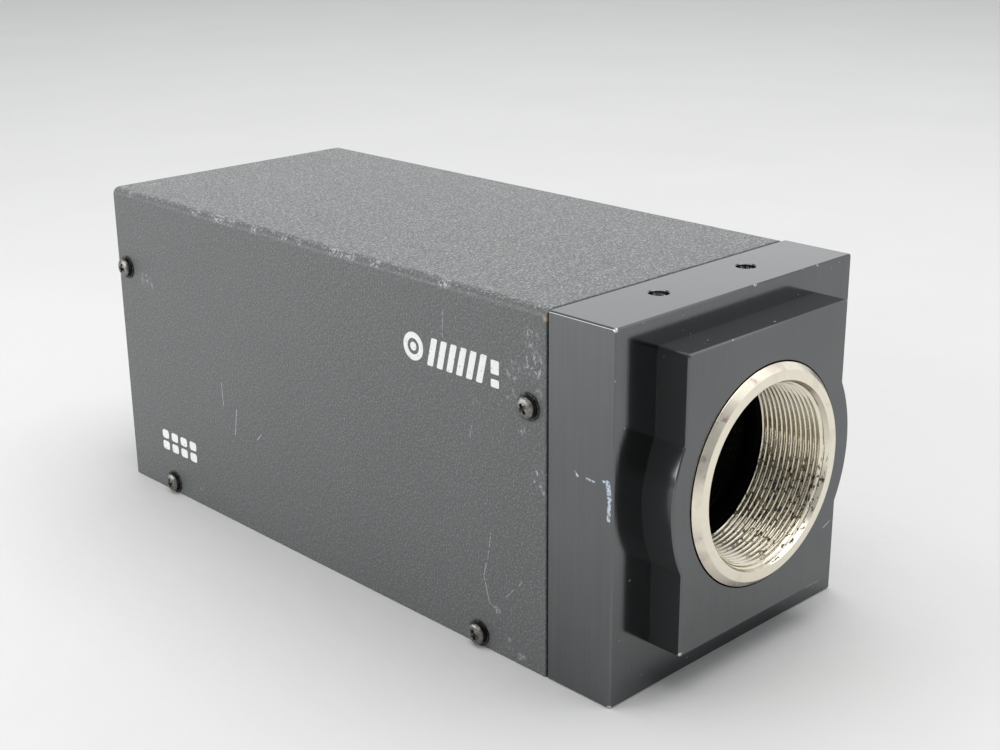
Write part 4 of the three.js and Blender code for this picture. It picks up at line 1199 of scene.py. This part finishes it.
def upright(profile, place, segments=32):
    """A solid turned round a vertical axis, with each profile's y as its height."""
    return moved(lathe(profile, segments), (place[0], place[1], 0), ABOUT_X["up"])


def countersink(name):
    wide, narrow = BASE_SCREW_HEAD + 0.05, BASE_SCREW_RADIUS + HOLE_FIT
    profile = [(0, -1), (wide + 1, -1), (narrow, wide - narrow), (narrow, 6), (0, 6)]
    return upright(profile, centre(name))


def base_plate():
    """A thick plate with countersunk holes, a tapped tripod boss, and posts for the boards."""
    outline = rounded_rectangle(base_low.x, 0, base_high.x, BASE_THICKNESS, 0.25, steps=2)
    plate = mesh_object("base_plate_body", *prism(outline, base_low.y, base_high.y, 0.15, 0.15))
    tripod = (0, SEAM_Y + TRIPOD_FROM_SEAM)
    radius, height = TRIPOD_BOSS
    spacers = [centre(name) for name in sorted(frame["nodes"]) if name.startswith("board_spacer_")]
    stud = STUD_RADIUS + HOLE_FIT
    stud_floor = LOWER_BOARD - STUD_LENGTH - BEARING
    post = [
        (0, 3), (SPACER_RADIUS, 3), (SPACER_RADIUS, LOWER_BOARD), (stud, LOWER_BOARD), (stud, stud_floor),
        (0, stud_floor),
    ]
    carve(
        plate, [upright(pin(radius, 1, height, end=0.3), tripod, 64), *(upright(post, at) for at in spacers)],
        "UNION",
    )
    tapped = [
        (0, -1), (TRIPOD_RADIUS + 1.5, -1), (TRIPOD_RADIUS + 0.15, 0.35),
        *thread_ridges(TRIPOD_RADIUS, TRIPOD_PITCH, 0.4, TRIPOD_DEPTH - 0.3, -0.24),
        (TRIPOD_RADIUS, TRIPOD_DEPTH), (0, TRIPOD_DEPTH),
    ]
    carve(plate, [
        upright(tapped, tripod, 64), *(countersink(name) for name in base_screw_names()),
        *side_holes("front_lower", "rear_lower"),
    ])
    finish(plate, "black_anodised", ["base_plate"])


def base_screws():
    """Countersunk screws with cross recesses, heads down."""
    chance = random.Random(9)
    head, shank, under = BASE_SCREW_HEAD, BASE_SCREW_RADIUS, -BEARING
    cone = under - (head - shank)
    for name in base_screw_names():
        middle = centre(name)
        spin = Matrix.Rotation(chance.uniform(0, math.pi / 2), 3, "Z")
        turned_piece(
            f"{name}_body",
            [
                (0, -BASE_SCREW_LENGTH), (shank - 0.3, -BASE_SCREW_LENGTH), (shank, 0.3 - BASE_SCREW_LENGTH),
                (shank, cone), (head, under - 0.08), (head - 0.08, under), (0, under),
            ],
            (middle.x, middle.y, 0), "blackened_steel", [name], turn=spin @ ABOUT_X["down"],
            cuts=cross_recess(head, under, 1.1),
        )


def ring_set_screw():
    """A headless screw with a hexagon socket, deep in its hole below the lens ring."""
    low, high = box("ring_set_screw")
    radius = screw_radius("ring_set_screw")
    socket = rod(radius / 2, -low.z - 2, 1 - low.z, 6)
    turned_piece(
        "ring_set_screw_body", pin(radius, -high.z, -low.z, 0.4, 0.15), (0, (low.y + high.y) / 2, 0),
        "blackened_steel", ["ring_set_screw"], turn=ABOUT_X["down"], cuts=[socket],
    )


def at_panel(name):
    """A fitting's axis on the rear panel's face."""
    middle = centre(name)
    return Vector((middle.x, REAR_Y, middle.z))


def rear_panel():
    outline = rounded_rectangle(panel_low.x, panel_low.z, panel_high.x, panel_high.z, 0.3, steps=3)
    panel = mesh_object("rear_panel_plate", *prism(outline, panel_low.y, panel_high.y, 0.2, 0.2))
    holes = {
        "video_jack": VIDEO_SHELL, "power_socket": POWER_SHELL + HOLE_FIT,
        "gain_control": GAIN_BUSH[0] + HOLE_FIT, "mode_switch": MODE_BUSH[0] + HOLE_FIT,
        "status_led": LED_RADIUS + HOLE_FIT,
    }
    carve(panel, [
        *(moved(rod(radius, -8, 1, 48), at_panel(name)) for name, radius in holes.items()),
        *side_holes("rear_upper"),
        *(base_screw_hole(name) for name in base_screw_names() if centre(name).y > 0),
    ])
    finish(panel, "black_anodised", ["rear_panel"])


# ---- Rear fittings ---------------------------------------------------------------------------


def video_jack():
    """A bayonet jack: flanged shell with two lugs, white insulator and brass contact."""
    place = at_panel("video_jack")
    flange = screw_radius("video_jack")
    end = box("video_jack")[1].y - REAR_Y
    lug_radius, reach, lug_y = VIDEO_LUG
    shell = mesh_object("video_shell", *lathe(
        [
            (0, FITTING_TAIL), (VIDEO_SHELL - HOLE_FIT, FITTING_TAIL), (VIDEO_SHELL - HOLE_FIT, BEARING),
            (flange, BEARING), (flange, FLANGE - 0.15), (flange - 0.15, FLANGE), (VIDEO_SHELL + 0.1, FLANGE),
            (VIDEO_SHELL, FLANGE + 0.1), (VIDEO_SHELL, end - 0.3), (VIDEO_SHELL - 0.25, end),
            (VIDEO_BORE + 0.1, end), (VIDEO_BORE, end - 0.1), (VIDEO_BORE, VIDEO_FLOOR), (0, VIDEO_FLOOR),
        ],
        64,
    ))
    lug = lathe(pin(lug_radius, 4.4, reach, end=0.15), 32)
    carve(
        shell, [moved(lug, (0, lug_y, 0), Matrix.Rotation(-sign * math.pi / 2, 3, "Z")) for sign in (-1, 1)],
        "UNION",
    )
    transform(shell, place)
    finish(shell, "jack_nickel", ["video_jack"])
    turned_piece(
        "video_insulator",
        [
            (0, VIDEO_FLOOR + BEARING), (2.4, VIDEO_FLOOR + BEARING), (2.4, end - 2.15), (2.25, end - 2),
            (0.85, end - 2), (0.7, end - 2.15), (0.7, 5.2), (0, 5.2),
        ],
        place, "white_plastic", ["video_jack_insert"],
    )
    turned_piece(
        "video_contact",
        [
            (0.38, 5.3), (0.65, 5.3), (0.65, end - 2.3), (0.55, end - 2.2), (0.45, end - 2.2),
            (0.38, end - 2.3),
        ],
        place, "brass", [], segments=24,
    )


def power_socket():
    """A round socket: threaded shell with a key rib, insulating disc and brass pins."""
    place = at_panel("power_socket")
    end = box("power_socket")[1].y - REAR_Y
    flange_top = 2 * FLANGE
    shell = mesh_object("power_shell", *lathe(
        [
            (0, FITTING_TAIL), (POWER_SHELL, FITTING_TAIL), (POWER_SHELL, BEARING), (POWER_FLANGE, BEARING),
            (POWER_FLANGE, flange_top - 0.5), (POWER_FLANGE - 0.5, flange_top),
            (POWER_SHELL - 0.2, flange_top),
            *thread_ridges(POWER_SHELL, 0.75, flange_top + 0.3, end - 0.6, 0.22), (POWER_SHELL, end - 0.4),
            (POWER_SHELL - 0.4, end), (POWER_BORE + 0.1, end), (POWER_BORE, end - 0.1),
            (POWER_BORE, POWER_FLOOR), (0, POWER_FLOOR),
        ],
        72,
    ))
    carve(shell, [cuboid((-0.5, 3.0, POWER_BORE - 0.6), (0.5, end - 0.8, POWER_BORE + 0.3))], "UNION")
    transform(shell, place)
    finish(shell, "jack_nickel", ["power_socket"])
    floor = POWER_FLOOR + BEARING
    face = floor + 2.0
    disc = pin(POWER_BORE - 0.05, floor, face, end=0.1)
    turned_piece("power_insert_disc", disc, place, "black_plastic", ["power_socket_insert"])
    contact = [(0, face + BEARING), (0.4, face + BEARING), (0.4, 6.75), (0.25, 6.95), (0, 7.0)]
    pins = mesh_object("power_pins", *joined(
        moved(lathe(contact, 16), place + Vector((ring * math.cos(angle), 0, ring * math.sin(angle))))
        for count, ring in POWER_PINS
        for angle in (2 * math.pi * n / count for n in range(count))
    ))
    finish(pins, "brass")


def bushed_body(control, bush, body, bore, look):
    """A control's body behind the panel, its threaded bush through it, and the bush's nut."""
    name = f"{control}_bush"
    place = at_panel(control)
    radius, length = bush
    half_x, half_z = body[0] / 2, body[1] / 2
    piece = mesh_object(name, *cuboid(
        (-half_x, FITTING_BACK - FITTING_BODY, -half_z), (half_x, FITTING_BACK, half_z)
    ))
    threads = thread_ridges(radius, 0.5, NUT_THICKNESS + 0.1, length - 0.25, 0.14)
    carve(
        piece,
        [
            lathe(
                [
                    (0, FITTING_BACK - 1), (radius, FITTING_BACK - 1), (radius, NUT_THICKNESS), *threads,
                    (radius - 0.05, length - 0.2), (radius - 0.25, length), (0, length),
                ],
                48,
            )
        ],
        "UNION",
    )
    carve(piece, [lathe(bore, 40)])
    transform(piece, place)
    finish(piece, look, [control])
    outer, inner = radius + NUT_RIM, radius + 0.04
    nut = mesh_object(f"{name}_nut", *rod(outer, BEARING, NUT_THICKNESS, 6))
    chamfered = lathe(
        [
            (0, BEARING - 1), (outer, BEARING - 1), (outer, NUT_THICKNESS - 0.3),
            (outer - 0.55, NUT_THICKNESS), (0, NUT_THICKNESS),
        ],
        48,
    )
    carve(nut, [chamfered], "INTERSECT")
    carve(nut, [rod(inner, -1, 3, 40)])
    transform(nut, place)
    finish(nut, "jack_nickel")


def gain_knob():
    """A fluted knob with a white pointer, on its steel shaft."""
    place = at_panel("gain_control")
    shaft, shaft_start, shaft_end = SHAFT
    shaft_profile = pin(shaft, shaft_start, shaft_end, 0.2, 0.2)
    turned_piece("gain_shaft_rod", shaft_profile, place, "bright_steel", ["gain_shaft"], body="gain_knob")
    radius, front, end = KNOB_RADIUS, KNOB_FRONT, KNOB_END
    flutes = joined(
        moved(rod(0.7, front + 1.5, end + 1, 20), (6.2 * math.cos(angle), 0, 6.2 * math.sin(angle)))
        for angle in (2 * math.pi * (n + 0.5) / FLUTES for n in range(FLUTES))
    )
    turned_piece(
        "gain_knob_cap",
        [
            (0, shaft_end + BEARING), (shaft + BEARING, shaft_end + BEARING), (shaft + BEARING, front),
            (radius - 0.2, front), (radius, front + 0.2), (radius, end - 0.8),
            *(
                (radius - 0.8 + 0.8 * math.cos(a), end - 0.8 + 0.8 * math.sin(a))
                for a in (math.radians(15 * n) for n in range(1, 6))
            ),
            (radius - 0.8, end), (0, end),
        ],
        place, "knob_plastic", ["gain_knob"], segments=96, cuts=[flutes], body="gain_knob",
    )
    line = rounded_rectangle(-0.4, 1, 0.4, radius - 1, 0.15, steps=3)
    pointer = mesh_object("knob_pointer", *moved(prism(line, end + BEARING, end + 0.3, 0, 0.08), place))
    finish(pointer, "white_plastic", body="gain_knob", angle=None)


def mode_lever():
    """A bat-shaped lever, thin at the neck, tipped down at rest."""
    ball, length = LEVER_BALL, LEVER_LENGTH
    bottom = [(ball * math.sin(a), -ball * math.cos(a)) for a in (math.radians(15 * n) for n in range(10))]
    tip = 1.25
    end = [
        (tip * math.cos(a), length - tip + tip * math.sin(a))
        for a in (math.radians(15 * n) for n in range(6))
    ]
    place = at_panel("mode_switch") + Vector((0, LEVER_PIVOT, 0))
    turned_piece(
        "mode_lever_bat",
        [
            (0, -ball), *bottom[1:], (0.78, 1.6), (0.75, 2.1), (0.78, 2.6), (0.95, 4.6), (1.15, 6.4), *end,
            (0, length),
        ],
        place, "bright_steel", ["mode_lever"], turn=Matrix.Rotation(math.radians(-LEVER_TILT), 3, "X"),
        segments=40, body="mode_lever",
    )


def status_led():
    radius = LED_RADIUS
    dome = [
        (radius * math.cos(a), 0.3 + 1.2 * math.sin(a)) for a in (math.radians(10 * n) for n in range(1, 9))
    ]
    back = FITTING_BACK
    turned_piece(
        "status_led_dome",
        [
            (0, back - 1), (radius + 0.4, back - 1), (radius + 0.4, back), (radius, back), (radius, 0.3),
            *dome, (0, 1.5),
        ],
        at_panel("status_led"), "red_lens", ["status_led"],
    )


def rear_fittings():
    video_jack()
    power_socket()
    shaft_bore = SHAFT[0] + 0.05
    floor = SHAFT[1] - HOLE_FIT
    bushed_body("gain_control", GAIN_BUSH, GAIN_BODY, pin(shaft_bore, floor, 5), "blackened_steel")
    seat = LEVER_BALL + HOLE_FIT
    bottom = LEVER_PIVOT - LEVER_BALL - 0.5
    bushed_body(
        "mode_switch", MODE_BUSH, MODE_BODY,
        [
            (0, bottom), (seat, bottom), (seat, LEVER_PIVOT + 0.4), (MODE_MOUTH, MODE_BUSH[1]),
            (MODE_MOUTH, 7), (0, 7),
        ],
        "bright_steel",
    )
    gain_knob()
    mode_lever()
    status_led()


# ---- Printed marks ---------------------------------------------------------------------------

INK = 0.03


def side_outline(outline, y, z):
    """An outline drawn as seen from the left, set on the cover's left side as a thin solid."""
    mirrored = [(-u, v) for u, v in reversed(outline)]
    points, faces = prism(mirrored, 0, INK)
    turn = Matrix(((0, 1, 0), (1, 0, 0), (0, 0, 1)))
    return moved((points, faces), (-HALF_WIDTH - INK, y, z), turn)


def joined(meshes):
    points, faces = [], []
    for more_points, more_faces in meshes:
        start = len(points)
        points += list(more_points)
        faces += [tuple(index + start for index in face) for face in more_faces]
    return points, faces


def ring_outline(radius, width, gap):
    """A ring with a gap, as one outline."""
    return [*arc(0, 0, radius, gap, 360 - gap, 28), *reversed(arc(0, 0, radius - width, gap, 360 - gap, 28))]


def shifted(outline, u, v=0.0):
    return [(a + u, b + v) for a, b in outline]


def bar(width, height, corner=0.2):
    return rounded_rectangle(-width / 2, -height / 2, width / 2, height / 2, corner, steps=3)


def slanted(outline, lean=0.25):
    return [(u + lean * v, v) for u, v in outline]


def printed_marks():
    """Generic marks in white: a ring and dot with slanted bars, small cells, and the controls' dots."""
    y, z = SEAM_Y + 17.8, 40.4
    ring = ring_outline(2.0, 0.85, 0.5)
    large = [shifted(ring, -7.4), shifted(arc(0, 0, 0.62, 0, 345, 20), -7.4)]
    large += [shifted(slanted(bar(1.15, 4.0)), -3.6 + 1.9 * n) for n in range(6)]
    large += [shifted(bar(1.5, 1.1), 8.4, -1.45), shifted(bar(1.5, 1.9), 8.4, 0.75)]
    mark = mesh_object("printed_mark_large", *joined(side_outline(o, y, z) for o in large))
    y, z = SEAM_Y + 85.7, 9.0
    cell = bar(1.9, 1.5, 0.45)
    small = [shifted(cell, -4.05 + 2.7 * n, v) for n in range(4) for v in (-1.0, 1.0)]
    type_mark = mesh_object("printed_mark_small", *joined(side_outline(o, y, z) for o in small))
    for piece in (mark, type_mark):
        finish(piece, "white_ink", angle=None)
    knob, switch = at_panel("gain_control"), at_panel("mode_switch")
    dot = rod(0.38, 0, INK, 20)
    dots = [
        moved(dot, knob + Vector((7.6 * math.sin(angle), 0, 7.6 * math.cos(angle))))
        for angle in (math.radians(27 * n) for n in range(-5, 6))
    ]
    small_ring = lathe([(0.35, 0), (0.6, 0), (0.6, INK), (0.35, INK)], 24, closed=True)
    dots += [moved(dot, switch + Vector((0, 0, 5.6))), moved(small_ring, switch - Vector((0, 0, 5.6)))]
    panel_marks = mesh_object("panel_marks", *joined(dots))
    finish(panel_marks, "white_ink", angle=None)


# ---- Nodes kept from the CAD -----------------------------------------------------------------


def dress_kept_nodes():
    """Every CAD node that isn't replaced gets the material of its slot."""
    slots = {entry["node"]: entry["material_slot"] for entry in frame["record"]["subparts"]}
    for name, piece in frame["nodes"].items():
        if not piece.hide_render:
            dress(piece, slots[name])
            for polygon in piece.data.polygons:
                polygon.material_index = 0


# ---- Everything ------------------------------------------------------------------------------

make_camera()
make_stage()
front_plate()
lens_ring()
cover()
side_fasteners()
base_plate()
base_screws()
ring_set_screw()
rear_panel()
rear_fittings()
printed_marks()
dress_kept_nodes()
